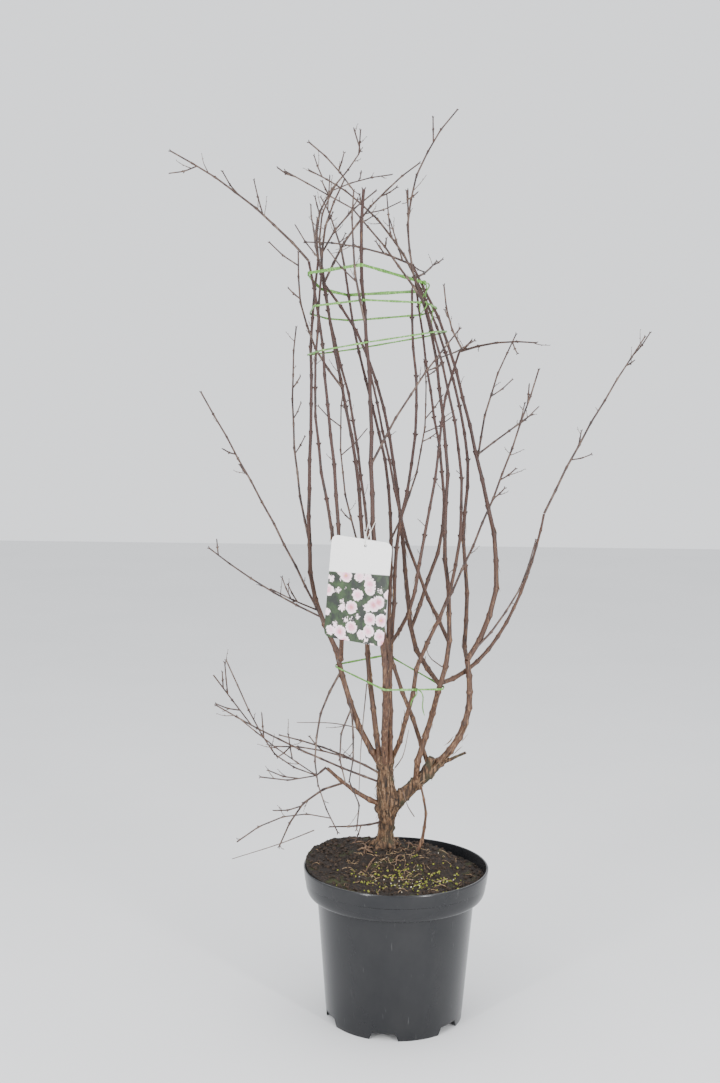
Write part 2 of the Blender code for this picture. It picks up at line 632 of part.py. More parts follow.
def soil_height(x, y):
    heap = SOIL_RIM + SOIL_HEAP * max(0.0, y * 0.50 - x * 0.85) / RIM_RADIUS
    heap -= SOIL_SINK * max(0.0, y * 0.65 + x * 0.75) / RIM_RADIUS
    foot = Vector((TRUNK[0][1], TRUNK[0][2]))
    sucker = Vector(SUCKER_FOOT)
    along = max(0.0, min(1.0, (Vector((x, y)) - foot).dot(sucker - foot) / (sucker - foot).length_squared))
    away = (Vector((x, y)) - foot.lerp(sucker, along)).length
    rough = SOIL_ROUGH * noise.noise(Vector((x, y, 0.3)) * 60)
    blend = max(0.0, min(1.0, (away - LEVEL_REACH) / 0.055))
    blend = blend * blend * (3 - 2 * blend)
    return GROUND + (heap + rough - GROUND) * blend


def add_soil(group, finish):
    bottom = FLOOR_HEIGHT + WALL + GAP
    edge = inside_radius(SOIL_RIM) - GAP
    profile = [(0.0, SOIL_RIM)]
    profile += [(edge * k / SOIL_RINGS, SOIL_RIM) for k in range(1, SOIL_RINGS + 1)]
    profile += [(inside_radius(COLLAR_BOTTOM + 0.006) - GAP, COLLAR_BOTTOM + 0.006),
                (inside_radius(COLLAR_BOTTOM) - GAP, COLLAR_BOTTOM),
                (inside_radius(bottom) - GAP, bottom), (0.0, bottom)]
    mesh = turned_mesh("soil", profile)
    for vert in mesh.vertices:
        if vert.co.z > SOIL_RIM - 0.0001:
            height = soil_height(vert.co.x, vert.co.y)
            reach = math.hypot(vert.co.x, vert.co.y)
            narrow = min(1.0, (inside_radius(height) - GAP) / max(reach, 0.001))
            vert.co = (vert.co.x * narrow, vert.co.y * narrow, height)
    obj = add_object("soil", mesh, group, finish)
    shade_round(mesh)
    return obj


def add_trunk(group, cutters, finish):
    line = [Vector((across, back, height)) for height, across, back, radius in TRUNK]
    line[0].z -= 0.006
    radii = [row[3] for row in TRUNK]
    pieces = [tube_mesh("trunk", line, radii, TRUNK_SIDES)]
    for k in range(ROOT_TOES):
        bearing = math.radians(20 + 360 * k / ROOT_TOES)
        out = Vector((math.cos(bearing), math.sin(bearing), 0.0))
        toe = [line[2] + Vector((0, 0, -0.004)), line[1] + out * 0.013 + Vector((0, 0, -0.006)),
               Vector((line[0].x, line[0].y, GROUND - 0.004)) + out * 0.031]
        pieces.append(tube_mesh("toe", toe, (0.0070, 0.0062, 0.0040), 6))
    for k, (height, bearing, size) in enumerate(((0.340, 200, 0.0105), (0.352, 300, 0.0100),
                                                 (0.330, 60, 0.0090), (0.414, 150, 0.0080))):
        place, along, radius = Limb(line, radii).at_height(height)
        turn = math.radians(bearing)
        place = place + Vector((math.cos(turn), math.sin(turn), 0.0)) * radius * 0.75
        pieces.append(knob_mesh("burl", place, size))
    trunk = union_of("trunk", pieces, group, finish)
    ground = block_cutter("ground_level", (line[0].x, line[0].y, GROUND + GAP - 0.02),
                          (0.12, 0.12, 0.04), cutters)
    cut_with(trunk, ground)
    settle(trunk, finish)
    shade_round(trunk.data)
    return trunk, Limb(line, radii)


def knob_mesh(name, place, radius):
    mesh = bpy.data.meshes.new(name)
    shape = bmesh.new()
    bmesh.ops.create_icosphere(shape, subdivisions=1, radius=radius,
                               matrix=Matrix.Translation(place) @ Matrix.Rotation(0.4, 4, "X"))
    shape.to_mesh(mesh)
    shape.free()
    return mesh


def block_cutter(name, place, size, group):
    mesh = bpy.data.meshes.new(name)
    shape = bmesh.new()
    bmesh.ops.create_cube(shape, size=1.0,
                          matrix=Matrix.Translation(place) @ Matrix.Diagonal((*size, 1.0)))
    shape.to_mesh(mesh)
    shape.free()
    cutter = add_object(name, mesh, group)
    cutter.hide_render = True
    cutter.display_type = "WIRE"
    return cutter


def stem_line(row, limbs):
    # From its foot, through its place at each level, to its top
    if "bearing" in row:
        turn = math.radians(row["bearing"])
        head = limbs["trunk"].line[-1]
        foot = head + Vector((math.cos(turn), math.sin(turn), 0.0)) * HEAD_RING
        foot.z = head.z - 0.008
    else:
        foot = limbs[row["parent"]].at_height(row["at"])[0]
    points = [foot]
    count = len(row["across"])
    for k, across in enumerate(row["across"]):
        height = row["top"] if k == count - 1 else LEVELS[row["first"] + k]
        points.append(cage_place(across, height, row["share"]))
    return smooth_line(points, NODE_STEP)


def add_limb(name, row, limbs, solids, group, cutters, finish):
    if "leave" in row:
        line = bent_line(Vector(row["start"]), Vector(row["leave"]), Vector(row["arrive"]),
                         Vector(row["tip"]), NODE_STEP * 0.6)
        radii = taper(len(line), row["foot"], row["end"])
    else:
        line = stem_line(row, limbs)
        radii = taper(len(line), row["foot"], row["tip"])
    if row["parent"] in STEMS:
        radii[0] = min(radii[0], 0.75 * limbs[row["parent"]].at_height(line[0].z)[2])
    line = kinked(line, seed=len(limbs))
    limbs[name] = Limb(line, radii)
    pieces = [tube_mesh(name, line, radii, LIMB_SIDES if "leave" in row else STEM_SIDES)]
    for share, tip, foot, end in row.get("snags", ()):
        pieces.append(tube_mesh("snag", [limbs[name].at_share(share)[0], Vector(tip)],
                                (foot, end), STEM_SIDES))
    obj = union_of(name, pieces, group, finish)
    if row["parent"] is None:
        cut_with(obj, bpy.data.objects["ground_level"])
    for other in near_foot(name, row["parent"], limbs):
        cut_with(obj, solids[other])
    settle(obj, finish)
    shade_round(obj.data)
    solids[name] = grown_cutter(obj, cutters)
    return obj


def near_foot(name, parent, limbs):
    # The parent, and any earlier limb whose line comes close to this one's foot
    found = [parent] if parent else []
    foot = limbs[name].line[:2]
    for other, limb in limbs.items():
        if other in (name, parent):
            continue
        reach = limb.radii[0] + limbs[name].radii[0] + 0.002
        if any(segment_distance(*foot, a, b) < reach for a, b in zip(limb.line, limb.line[1:])):
            found.append(other)
    return found


def segment_distance(a, b, c, d):
    # Shortest distance between two straight pieces, by sampling the first
    best = 1.0
    span = d - c
    for k in range(9):
        point = a.lerp(b, k / 8)
        share = max(0.0, min(1.0, (point - c).dot(span) / max(span.length_squared, 1e-12)))
        best = min(best, (point - c - span * share).length)
    return best


def shoot_start(limb, aim, radius, height=None):
    # The gap clear of the limb's tip; or inside the limb at a height, to be cut to its skin
    if height is not None:
        return limb.at_height(height)[0]
    place, along, limb_radius = limb.at_share(1.0)
    way = (aim - place).normalized()
    lean = math.sqrt(max(0.0, 1.0 - way.dot(along) ** 2))
    return place + along * (GAP + radius * lean)


def mass_shoots(row, limbs):
    # The leading shoots, each from the limb or forked off an earlier shoot
    made = []
    for number, shoot in enumerate(row["shoots"]):
        tip = Vector(shoot["tip"])
        if number == 0:
            start = shoot_start(limbs[row["limb"]], tip, SHOOT_FOOT, row.get("at"))
            foot = SHOOT_FOOT
        else:
            start, along, foot = made[shoot["on"]].at_share(shoot["at"])
            start = start - along * 0.001
            foot = foot * (0.98 if shoot["at"] == 1.0 else 0.85)
        line = kinked(bowed_line(start, tip, shoot["bow"], SHOOT_STEP), seed=number + len(made) + 3)
        made.append(Limb(line, taper(len(line), foot, SHOOT_TIP)))
    return made


def mass_twigs(row, shoots, limbs, seed):
    # Short side twigs by a seeded rule, left out where they would touch anything else
    maker = random.Random(seed)
    made = []
    tries = 0
    while len(made) < row["twigs"] and tries < 60:
        tries += 1
        shoot = maker.choice(shoots)
        place, along, radius = shoot.at_share(maker.uniform(0.25, 0.92))
        side = along.orthogonal().normalized()
        side.rotate(Matrix.Rotation(maker.uniform(0, 2 * math.pi), 3, along))
        angle = math.radians(maker.uniform(*TWIG_ANGLES))
        way = along * math.cos(angle) + side * math.sin(angle)
        length = maker.uniform(*TWIG_LENGTHS)
        middle = place + way * length * 0.5
        tip = middle + (way + Vector((0, 0, 0.25))).normalized() * length * 0.5
        line = [place, middle, tip]
        if clear_of(line, limbs, place, 0.012) and clear_of(line, made_limbs(made), place, 0.0):
            made.append(Limb(line, [TWIG_FOOT, (TWIG_FOOT + TWIG_TIP) / 2, TWIG_TIP]))
    return made


def made_limbs(twigs):
    return {str(k): twig for k, twig in enumerate(twigs)}


def clear_of(line, limbs, start, ignore):
    # True if the line keeps the clearance from every limb, but for the first stretch
    for limb in limbs.values():
        for k in range(len(limb.line) - 1):
            c, d = limb.line[k], limb.line[k + 1]
            reach = limb.radii[k] + TWIG_FOOT + TWIG_CLEARANCE
            for a, b in zip(line, line[1:]):
                if segment_distance(a, b, c, d) < reach:
                    return False
    return True


def add_masses(shoots, limbs, solids, group, finish):
    # The ties and every mass's leading shoots are already known, so side twigs keep off them
    for number, (name, row) in enumerate(MASSES.items()):
        others = dict(limbs)
        for other, lines in shoots.items():
            if other != name:
                others.update({other + str(k): line for k, line in enumerate(lines)})
        for seed in range(FIRST_SEED + number, FIRST_SEED + 20 * len(MASSES), len(MASSES)):
            twigs = mass_twigs(row, shoots[name], others, seed)
            mass = add_mass(name, row, shoots[name] + twigs, solids, group, finish)
            if is_sound(mass.data):
                break
            bpy.data.objects.remove(mass)
        limbs.update({name + "_twig" + str(k): line for k, line in enumerate(twigs)})


def add_mass(name, row, lines, solids, group, finish):
    mass = union_of(name, [tube_mesh(name, limb.line, limb.radii, 3) for limb in lines], group, finish)
    if "at" in row:
        cut_with(mass, solids[row["limb"]])
        settle(mass, finish)
    return mass


def crossings(row, limbs):
    # Where each stem passes through the tie's plane
    found = []
    for name in STEMS:
        limb = limbs[name]
        for k in range(len(limb.line) - 1):
            a, b = limb.line[k], limb.line[k + 1]
            below = a.z - tie_height(row, a)
            above = b.z - tie_height(row, b)
            if below <= 0 < above:
                share = below / (below - above)
                radius = limb.radii[k] + (limb.radii[k + 1] - limb.radii[k]) * share
                found.append((a.lerp(b, share), radius))
    return found


def tie_height(row, place):
    return row["height"] + row["across"] * place.x + row["back"] * place.y


def hull(points):
    # Andrew's monotone chain
    points = sorted(set(points))
    sides = []
    for order in (points, points[::-1]):
        chain = []
        for p in order:
            while len(chain) > 1 and turn_of(chain[-2], chain[-1], p) <= 0:
                chain.pop()
            chain.append(p)
        sides += chain[:-1]
    return sides


def turn_of(a, b, c):
    return (b[0] - a[0]) * (c[1] - a[1]) - (b[1] - a[1]) * (c[0] - a[0])


def add_tie(name, row, limbs, group, finish):
    # The tie is drawn tight round the stems: their hull, grown by its own radius
    ring = []
    for place, radius in crossings(row, limbs):
        out = (radius + row["radius"]) * TIE_SLACK / math.cos(math.pi / TIE_TURNS) + GAP
        for k in range(TIE_TURNS):
            turn = 2 * math.pi * k / TIE_TURNS
            ring.append((round(place.x + out * math.cos(turn), 6),
                         round(place.y + out * math.sin(turn), 6)))
    line = []
    for x, y in hull(ring):
        point = Vector((x, y, 0.0))
        point.z = tie_height(row, point)
        line.append(point)
    mesh = tube_mesh(name, line, [row["radius"]] * len(line), TIE_SIDES, closed=True)
    shade_round(mesh)
    limbs[name] = Limb(line + line[:1], [row["radius"]] * (len(line) + 1))
    return add_object(name, mesh, group, finish)


def label_matrix():
    # The card's own X is its width, Y its height and Z its printed face
    turn = Matrix.Rotation(math.radians(-LABEL_TURN), 4, "Z")
    tilt = Matrix.Rotation(math.radians(LABEL_TILT), 4, "Y")
    stand = Matrix.Rotation(math.radians(90), 4, "X")
    return Matrix.Translation(LABEL_MIDDLE) @ turn @ tilt @ stand


def add_label(group, cutters, finish):
    curve = bpy.data.curves.new("label", "CURVE")
    curve.dimensions = "2D"
    curve.fill_mode = "BOTH"
    curve.extrude = LABEL_THICK / 2
    outline = []
    for k, (sx, sy) in enumerate(((1, 1), (-1, 1), (-1, -1), (1, -1))):
        for j in range(4):
            turn = math.radians(90 * k + 30 * j)
            outline.append((sx * (LABEL_WIDTH / 2 - LABEL_CORNER) + LABEL_CORNER * math.cos(turn),
                            sy * (LABEL_HEIGHT / 2 - LABEL_CORNER) + LABEL_CORNER * math.sin(turn)))
    spline = curve.splines.new("POLY")
    spline.points.add(len(outline) - 1)
    spline.use_cyclic_u = True
    for knot, place in zip(spline.points, outline):
        knot.co = (*place, 0.0, 1.0)
    flat = bpy.data.objects.new("label", curve)
    bpy.context.scene.collection.objects.link(flat)
    mesh = applied_mesh(flat)
    bpy.data.objects.remove(flat)
    mesh.transform(label_matrix())
    tidy_mesh(mesh)
    label = add_object("label", mesh, group, finish)
    hole = bpy.data.meshes.new("label_hole")
    shape = bmesh.new()
    bmesh.ops.create_cone(shape, cap_ends=True, segments=10, radius1=LABEL_HOLE, radius2=LABEL_HOLE,
                          depth=0.01, matrix=label_matrix() @ Matrix.Translation(hole_place()))
    shape.to_mesh(hole)
    shape.free()
    cutter = add_object("label_hole", hole, cutters)
    cutter.hide_render = True
    cutter.display_type = "WIRE"
    cut_with(label, cutter)
    settle(label, finish)
    return label


def hole_place():
    return Vector((*LABEL_HOLE_PLACE, 0.0))


def add_string(limbs, group, finish):
    # A loop round the centre stem, down to the label's hole, through it and back
    stem, along, radius = limbs["bough_centre"].at_height(STRING_HEIGHT)
    reach = (radius + STRING_RADIUS + GAP) * 1.06
    line = []
    for k in range(STRING_LOOP + 1):
        turn = math.radians(-20 + 220 * k / STRING_LOOP)
        line.append(stem + Vector((math.cos(turn) * reach, math.sin(turn) * reach,
                                   0.003 * math.sin(turn))))
    skin = LABEL_THICK / 2 + STRING_RADIUS + GAP
    threaded = ((-0.0012, 0.012, skin * 1.8), (0.0, 0.001, skin), (0.0, 0.0, 0.0),
                (0.0, 0.001, -skin), (0.0012, 0.012, -skin * 1.8))
    line += [label_matrix() @ (hole_place() + Vector(place)) for place in threaded]
    mesh = tube_mesh("label_string", line, [STRING_RADIUS] * len(line), 4, closed=True)
    return add_object("label_string", mesh, group, finish)


def main():
    clear_scene()
    plant = collection("potted_beautybush")
    cutters = collection("cutters")
    bark = material("bark", (0.20, 0.11, 0.06), 0.85)
    young = material("young_bark", (0.10, 0.045, 0.035), 0.7)
    plastic = material("pot_plastic", (0.045, 0.047, 0.05), 0.45)
    peat = material("peat", (0.06, 0.038, 0.022), 0.95)
    tape = material("green_tie", (0.16, 0.30, 0.06), 0.5)
    card = material("label_card", (0.85, 0.80, 0.82), 0.4)
    thread = material("white_string", (0.85, 0.85, 0.82), 0.7)

    add_twig_profile(cutters)
    add_pot(plant, cutters, plastic)
    add_soil(plant, peat)
    limbs = {}
    solids = {}
    trunk, limbs["trunk"] = add_trunk(plant, cutters, bark)
    solids["trunk"] = grown_cutter(trunk, cutters)
    for name in LIMB_ORDER:
        row = SIDE_LIMBS.get(name) or STEMS[name]
        add_limb(name, row, limbs, solids, plant, cutters, bark)
    for name, row in TIES.items():
        add_tie(name, row, limbs, plant, tape)
    shoots = {name: mass_shoots(row, limbs) for name, row in MASSES.items()}
    add_masses(shoots, limbs, solids, plant, young)
    add_label(plant, cutters, card)
    add_string(limbs, plant, thread)


main()
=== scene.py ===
# A potted beautybush in winter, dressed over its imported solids: peeling bark, knotted stems,
# fine bare twigs with buds, crumbly peat, green ties and a hanging label.

import json
import math
import random

import bpy
from mathutils import Matrix, Vector, noise

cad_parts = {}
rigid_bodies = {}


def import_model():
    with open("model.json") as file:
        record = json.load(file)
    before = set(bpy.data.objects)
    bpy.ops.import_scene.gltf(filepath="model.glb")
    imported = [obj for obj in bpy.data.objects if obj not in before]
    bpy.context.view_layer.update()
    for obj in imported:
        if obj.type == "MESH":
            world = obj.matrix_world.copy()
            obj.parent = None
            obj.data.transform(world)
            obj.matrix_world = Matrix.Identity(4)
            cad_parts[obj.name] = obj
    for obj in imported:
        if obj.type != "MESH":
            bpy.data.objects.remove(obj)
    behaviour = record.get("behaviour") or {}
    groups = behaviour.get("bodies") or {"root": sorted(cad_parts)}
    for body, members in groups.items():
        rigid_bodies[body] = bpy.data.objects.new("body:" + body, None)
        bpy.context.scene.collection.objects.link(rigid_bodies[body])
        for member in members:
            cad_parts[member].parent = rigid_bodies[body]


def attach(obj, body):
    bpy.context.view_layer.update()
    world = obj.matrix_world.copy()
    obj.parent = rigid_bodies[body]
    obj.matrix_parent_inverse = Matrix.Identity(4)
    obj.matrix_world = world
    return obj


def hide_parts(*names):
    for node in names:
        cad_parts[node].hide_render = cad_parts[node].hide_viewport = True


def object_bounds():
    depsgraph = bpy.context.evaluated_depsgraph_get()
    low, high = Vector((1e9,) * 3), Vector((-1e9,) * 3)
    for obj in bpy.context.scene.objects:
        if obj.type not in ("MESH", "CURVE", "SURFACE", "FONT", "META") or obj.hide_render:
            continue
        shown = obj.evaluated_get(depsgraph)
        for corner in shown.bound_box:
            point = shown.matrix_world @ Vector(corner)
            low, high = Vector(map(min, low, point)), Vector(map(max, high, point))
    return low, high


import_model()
cadLow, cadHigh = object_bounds()
cadNodes = {obj.name: obj for obj in bpy.data.objects if obj.type == "MESH"}
print("frame loaded:", len(cadNodes), "solids")


# Materials: every pattern reads Object coordinates

def newMaterial(name, roughness=0.6, specular=0.5):
    made = bpy.data.materials.new(name)
    made.use_nodes = True
    shader = made.node_tree.nodes["Principled BSDF"]
    shader.inputs["Roughness"].default_value = roughness
    shader.inputs["Specular IOR Level"].default_value = specular
    return made


def addNode(made, kind, inputs=(), **settings):
    node = made.node_tree.nodes.new(kind)
    for name, value in settings.items():
        setattr(node, name, value)
    for name, value in dict(inputs).items():
        feed(made, node.inputs[name], value)
    return node


def feed(made, socket, value):
    # Takes another node's output, or a plain number or colour
    if isinstance(value, bpy.types.NodeSocket):
        made.node_tree.links.new(value, socket)
    else:
        socket.default_value = value


def feedShader(made, name, source):
    feed(made, made.node_tree.nodes["Principled BSDF"].inputs[name], source)


def objectPlace(made, across, upright):
    place = addNode(made, "ShaderNodeTexCoord")
    sized = addNode(made, "ShaderNodeMapping", {"Vector": place.outputs["Object"],
                                                "Scale": (across, across, upright)})
    return sized.outputs["Vector"]


def noisePattern(made, scale, detail=4.0, roughness=0.55):
    # The scale is a pair, across and upright
    pattern = addNode(made, "ShaderNodeTexNoise", {"Vector": objectPlace(made, *scale), "Scale": 1.0,
                                                   "Detail": detail, "Roughness": roughness})
    return pattern.outputs["Fac"]


def colourRamp(made, source, stops):
    ramp = addNode(made, "ShaderNodeValToRGB", {"Fac": source})
    band = ramp.color_ramp
    while len(band.elements) < len(stops):
        band.elements.new(0.5)
    for spot, (place, colour) in zip(band.elements, stops):
        spot.position = place
        spot.color = (*colour, 1.0)
    return ramp.outputs["Color"]


def shareRamp(made, source, low, high, first=0.0, last=1.0):
    return colourRamp(made, source, ((low, (first,) * 3), (high, (last,) * 3)))


def mixColours(made, share, first, second):
    mix = addNode(made, "ShaderNodeMix", data_type="RGBA")
    feed(made, mix.inputs[0], share)
    for socket, value in ((mix.inputs[6], first), (mix.inputs[7], second)):
        feed(made, socket, (*value, 1.0) if isinstance(value, tuple) else value)
    return mix.outputs[2]


def heightShare(made, low, high):
    # 0 below the low height and 1 above the high one
    place = addNode(made, "ShaderNodeTexCoord")
    parts = addNode(made, "ShaderNodeSeparateXYZ", {"Vector": place.outputs["Object"]})
    share = addNode(made, "ShaderNodeMapRange", {"Value": parts.outputs["Z"], "From Min": low,
                                                 "From Max": high})
    return share.outputs["Result"]


def useRoughness(made, source, smooth, rough):
    spread = addNode(made, "ShaderNodeMapRange", {"Value": source, "To Min": smooth, "To Max": rough})
    feedShader(made, "Roughness", spread.outputs["Result"])


def useBump(made, source, depth):
    bump = addNode(made, "ShaderNodeBump", {"Height": source, "Distance": depth, "Strength": 1.0})
    feedShader(made, "Normal", bump.outputs["Normal"])


barkLook = {"creviceDarkAndShade": (0.008, 0.005, 0.003), "brown": (0.044, 0.023, 0.011), "peeled": (0.145, 0.078, 0.038),
            "pale": (0.28, 0.185, 0.110), "moss": (0.030, 0.028, 0.012), "roughness": 0.85,
            "strips": (260.0, 38.0), "patches": (45.0, 40.0), "relief": 0.0022}


def makeTrunkBark():
    made = newMaterial("peelingTrunkBark", barkLook["roughness"])
    strips = noisePattern(made, barkLook["strips"], 6.0, 0.62)
    # Near-black where the bump sinks into crevices: partly the bark's own dark fissures, partly painted shade
    flaky = colourRamp(made, strips, ((0.34, barkLook["creviceDarkAndShade"]), (0.47, barkLook["brown"]),
                                      (0.59, barkLook["peeled"]), (0.76, barkLook["pale"])))
    patches = shareRamp(made, noisePattern(made, barkLook["patches"]), 0.54, 0.66)
    feedShader(made, "Base Color", mixColours(made, patches, flaky, barkLook["moss"]))
    useBump(made, strips, barkLook["relief"])
    return made


stemLook = {"low": (0.070, 0.030, 0.013), "high": (0.036, 0.012, 0.008), "dark": (0.006, 0.003, 0.002),
            "strip": (0.21, 0.118, 0.062), "change": (0.42, 0.95), "thinning": (0.50, 0.85),
            "roughness": (0.42, 0.85), "strips": (420.0, 30.0), "relief": 0.0008}


def makeStemBark():
    # Redder low down, with pale strips that get fewer higher up
    made = newMaterial("stringyStemBark")
    body = mixColours(made, heightShare(made, *stemLook["change"]), stemLook["low"], stemLook["high"])
    strips = noisePattern(made, stemLook["strips"], 5.0, 0.6)
    # Near-black in the grooves between the strips, where the bump sinks: partly the bark's own dark grooves,
    # partly painted shade
    body = mixColours(made, shareRamp(made, strips, 0.34, 0.46, 1.0, 0.0), body, stemLook["dark"])
    lowStrips = shareRamp(made, strips, 0.56, 0.62, 0.0, 0.85)
    highStrips = shareRamp(made, strips, 0.66, 0.72, 0.0, 0.55)
    pale = mixColours(made, heightShare(made, *stemLook["thinning"]), lowStrips, highStrips)
    feedShader(made, "Base Color", mixColours(made, pale, body, stemLook["strip"]))
    useRoughness(made, strips, *stemLook["roughness"])
    useBump(made, strips, stemLook["relief"])
    return made


twigLook = {"dark": (0.016, 0.007, 0.006), "brown": (0.050, 0.024, 0.016), "grey": (0.125, 0.085, 0.062),
            "roughness": 0.55, "mottle": (110.0, 60.0), "fine": (900.0, 120.0), "relief": 0.0003}


def makeTwigBark(name, lift):
    made = newMaterial(name, twigLook["roughness"])
    mottle = noisePattern(made, twigLook["mottle"])
    colour = colourRamp(made, mottle, ((0.36 - lift, twigLook["dark"]), (0.52 - lift, twigLook["brown"]),
                                       (0.70 - lift, twigLook["grey"])))
    feedShader(made, "Base Color", colour)
    useBump(made, noisePattern(made, twigLook["fine"], 3.0), twigLook["relief"])
    return made


potLook = {"plastic": (0.010, 0.0105, 0.012), "dusty": (0.019, 0.019, 0.020),
           "scratch": (0.070, 0.070, 0.070), "specular": 0.36, "roughness": (0.20, 0.28),
           "dust": (14.0, 9.0), "lines": (320.0, 7.0), "fine": (700.0, 700.0), "relief": 0.00004}


def makePotPlastic():
    made = newMaterial("darkPotPlastic", specular=potLook["specular"])
    dust = shareRamp(made, noisePattern(made, potLook["dust"], 6.0, 0.65), 0.36, 0.78, 0.0, 0.8)
    body = mixColours(made, dust, potLook["plastic"], potLook["dusty"])
    lines = shareRamp(made, noisePattern(made, potLook["lines"], 2.0), 0.70, 0.74, 0.0, 0.5)
    feedShader(made, "Base Color", mixColours(made, lines, body, potLook["scratch"]))
    useRoughness(made, dust, *potLook["roughness"])
    useBump(made, noisePattern(made, potLook["fine"], 2.0), potLook["relief"])
    return made


peatLook = {"black": (0.004, 0.003, 0.002), "brown": (0.015, 0.008, 0.0045), "fibre": (0.080, 0.043, 0.022),
            "moss": (0.030, 0.034, 0.008), "crumbs": (330.0, 330.0), "damp": (30.0, 30.0), "relief": 0.0030}


def makePeat():
    made = newMaterial("crumblyPeat", 0.95)
    crumbs = noisePattern(made, peatLook["crumbs"], 8.0, 0.7)
    body = colourRamp(made, crumbs, ((0.36, peatLook["black"]), (0.54, peatLook["brown"]),
                                     (0.74, peatLook["fibre"])))
    damp = shareRamp(made, noisePattern(made, peatLook["damp"]), 0.56, 0.66)
    feedShader(made, "Base Color", mixColours(made, damp, body, peatLook["moss"]))
    useBump(made, crumbs, peatLook["relief"])
    return made


def makeSpeckled(name, dark, light, roughness, size=400.0):
    made = newMaterial(name, roughness)
    speck = noisePattern(made, (size, size))
    feedShader(made, "Base Color", colourRamp(made, speck, ((0.35, dark), (0.68, light))))
    useBump(made, speck, 0.0006)
    return made


tapeLook = {"fold": (0.035, 0.115, 0.012), "green": (0.085, 0.235, 0.026), "ridgeHighlight": (0.24, 0.44, 0.12),
            "roughness": 0.38, "creases": (500.0, 60.0), "relief": 0.0007}


def makeTape():
    made = newMaterial("greenTiePlastic", tapeLook["roughness"])
    creases = noisePattern(made, tapeLook["creases"], 3.0)
    # Darker in the crinkles' folds as painted shade, and paler on their ridges as painted highlight
    colour = colourRamp(made, creases, ((0.30, tapeLook["fold"]), (0.52, tapeLook["green"]),
                                        (0.75, tapeLook["ridgeHighlight"])))
    feedShader(made, "Base Color", colour)
    useBump(made, creases, tapeLook["relief"])
    return made


trunkBark = makeTrunkBark()
stemBark = makeStemBark()
twigBark = makeTwigBark("smoothTwigBark", 0.0)
thinTwigBark = makeTwigBark("greyThinTwigBark", 0.10)
budScales = makeSpeckled("darkBudScales", (0.014, 0.006, 0.005), (0.060, 0.027, 0.018), 0.6, 900.0)
peelings = makeSpeckled("palePeelings", (0.055, 0.028, 0.014), (0.30, 0.195, 0.115), 0.85, 260.0)
potPlastic = makePotPlastic()
peat = makePeat()
darkCrumb = makeSpeckled("darkPeatCrumb", (0.004, 0.003, 0.002), (0.050, 0.028, 0.015), 0.95)
whiteGrain = makeSpeckled("paleFeedGrain", (0.45, 0.38, 0.24), (0.80, 0.76, 0.66), 0.6)
mossGreen = makeSpeckled("dampMoss", (0.060, 0.070, 0.010), (0.36, 0.37, 0.05), 0.95, 700.0)
straw = makeSpeckled("strawFibre", (0.13, 0.075, 0.038), (0.42, 0.29, 0.16), 0.8, 300.0)
rootSkin = makeSpeckled("paleRootSkin", (0.045, 0.024, 0.014), (0.20, 0.12, 0.07), 0.85, 300.0)
tieTape = makeTape()
print("materials made")


# Making pieces

def deselectAll():
    for obj in bpy.context.view_layer.objects:
        obj.select_set(False)


def activate(obj):
    deselectAll()
    obj.select_set(True)
    bpy.context.view_layer.objects.active = obj


def applyModifier(obj, kind, **settings):
    activate(obj)
    step = obj.modifiers.new(kind.lower(), kind)
    for name, value in settings.items():
        setattr(step, name, value)
    bpy.ops.object.modifier_apply(modifier=step.name)


def addObject(name, data):
    obj = bpy.data.objects.new(name, data)
    bpy.context.scene.collection.objects.link(obj)
    return obj


def wear(obj, finish):
    obj.data.materials.clear()
    obj.data.materials.append(finish)


def curvePiece(name, lines, turnSteps, finish):
    # One mesh of tubes: each line is its places and its radii
    curve = bpy.data.curves.new(name, "CURVE")
    curve.dimensions = "3D"
    curve.use_fill_caps = True
    curve.bevel_depth = 1.0
    curve.bevel_resolution = turnSteps
    for points, radii in lines:
        spline = curve.splines.new("POLY")
        spline.points.add(len(points) - 1)
        for knot, place, radius in zip(spline.points, points, radii):
            knot.co = (*place, 1.0)
            knot.radius = radius
    return meshOf(addObject(name, curve), finish)


def meshOf(obj, finish):
    # A curve made a closed mesh, in its own finish
    activate(obj)
    bpy.ops.object.convert(target="MESH")
    weldAndFace(obj)
    wear(obj, finish)
    return obj


def weldAndFace(obj):
    activate(obj)
    bpy.ops.object.mode_set(mode="EDIT")
    bpy.ops.mesh.select_all(action="SELECT")
    bpy.ops.mesh.remove_doubles(threshold=0.00001)
    bpy.ops.mesh.normals_make_consistent(inside=False)
    bpy.ops.object.mode_set(mode="OBJECT")


def softShade(obj, degrees=50):
    activate(obj)
    bpy.ops.object.shade_smooth_by_angle(angle=math.radians(degrees))


def joinPieces(name, pieces):
    deselectAll()
    for obj in pieces:
        obj.select_set(True)
    bpy.context.view_layer.objects.active = pieces[0]
    bpy.ops.object.join()
    made = bpy.context.view_layer.objects.active
    made.name = name
    deselectAll()
    made.select_set(True)
    bpy.ops.object.transform_apply(location=True, rotation=True, scale=True)
    return made


def roughen(obj, size, depth):
    # Moves the skin in and out by a cloud of that size
    cloud = bpy.data.textures.new(obj.name + "Cloud", "CLOUDS")
    cloud.noise_scale = size
    cloud.noise_depth = 2
    applyModifier(obj, "DISPLACE", texture=cloud, texture_coords="LOCAL", strength=depth, mid_level=0.5)


def settlePiece(obj, slot, *nodes):
    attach(obj, "root")
    if nodes:
        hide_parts(*nodes)


# The limbs' lines, by the rules that the solids were made by, in the same frame

airGap = 0.0003  # between neighbours that don't join
limbShape = {"headRing": 0.0105, "headDrop": 0.008, "nodeStep": 0.046, "kink": 0.0010}
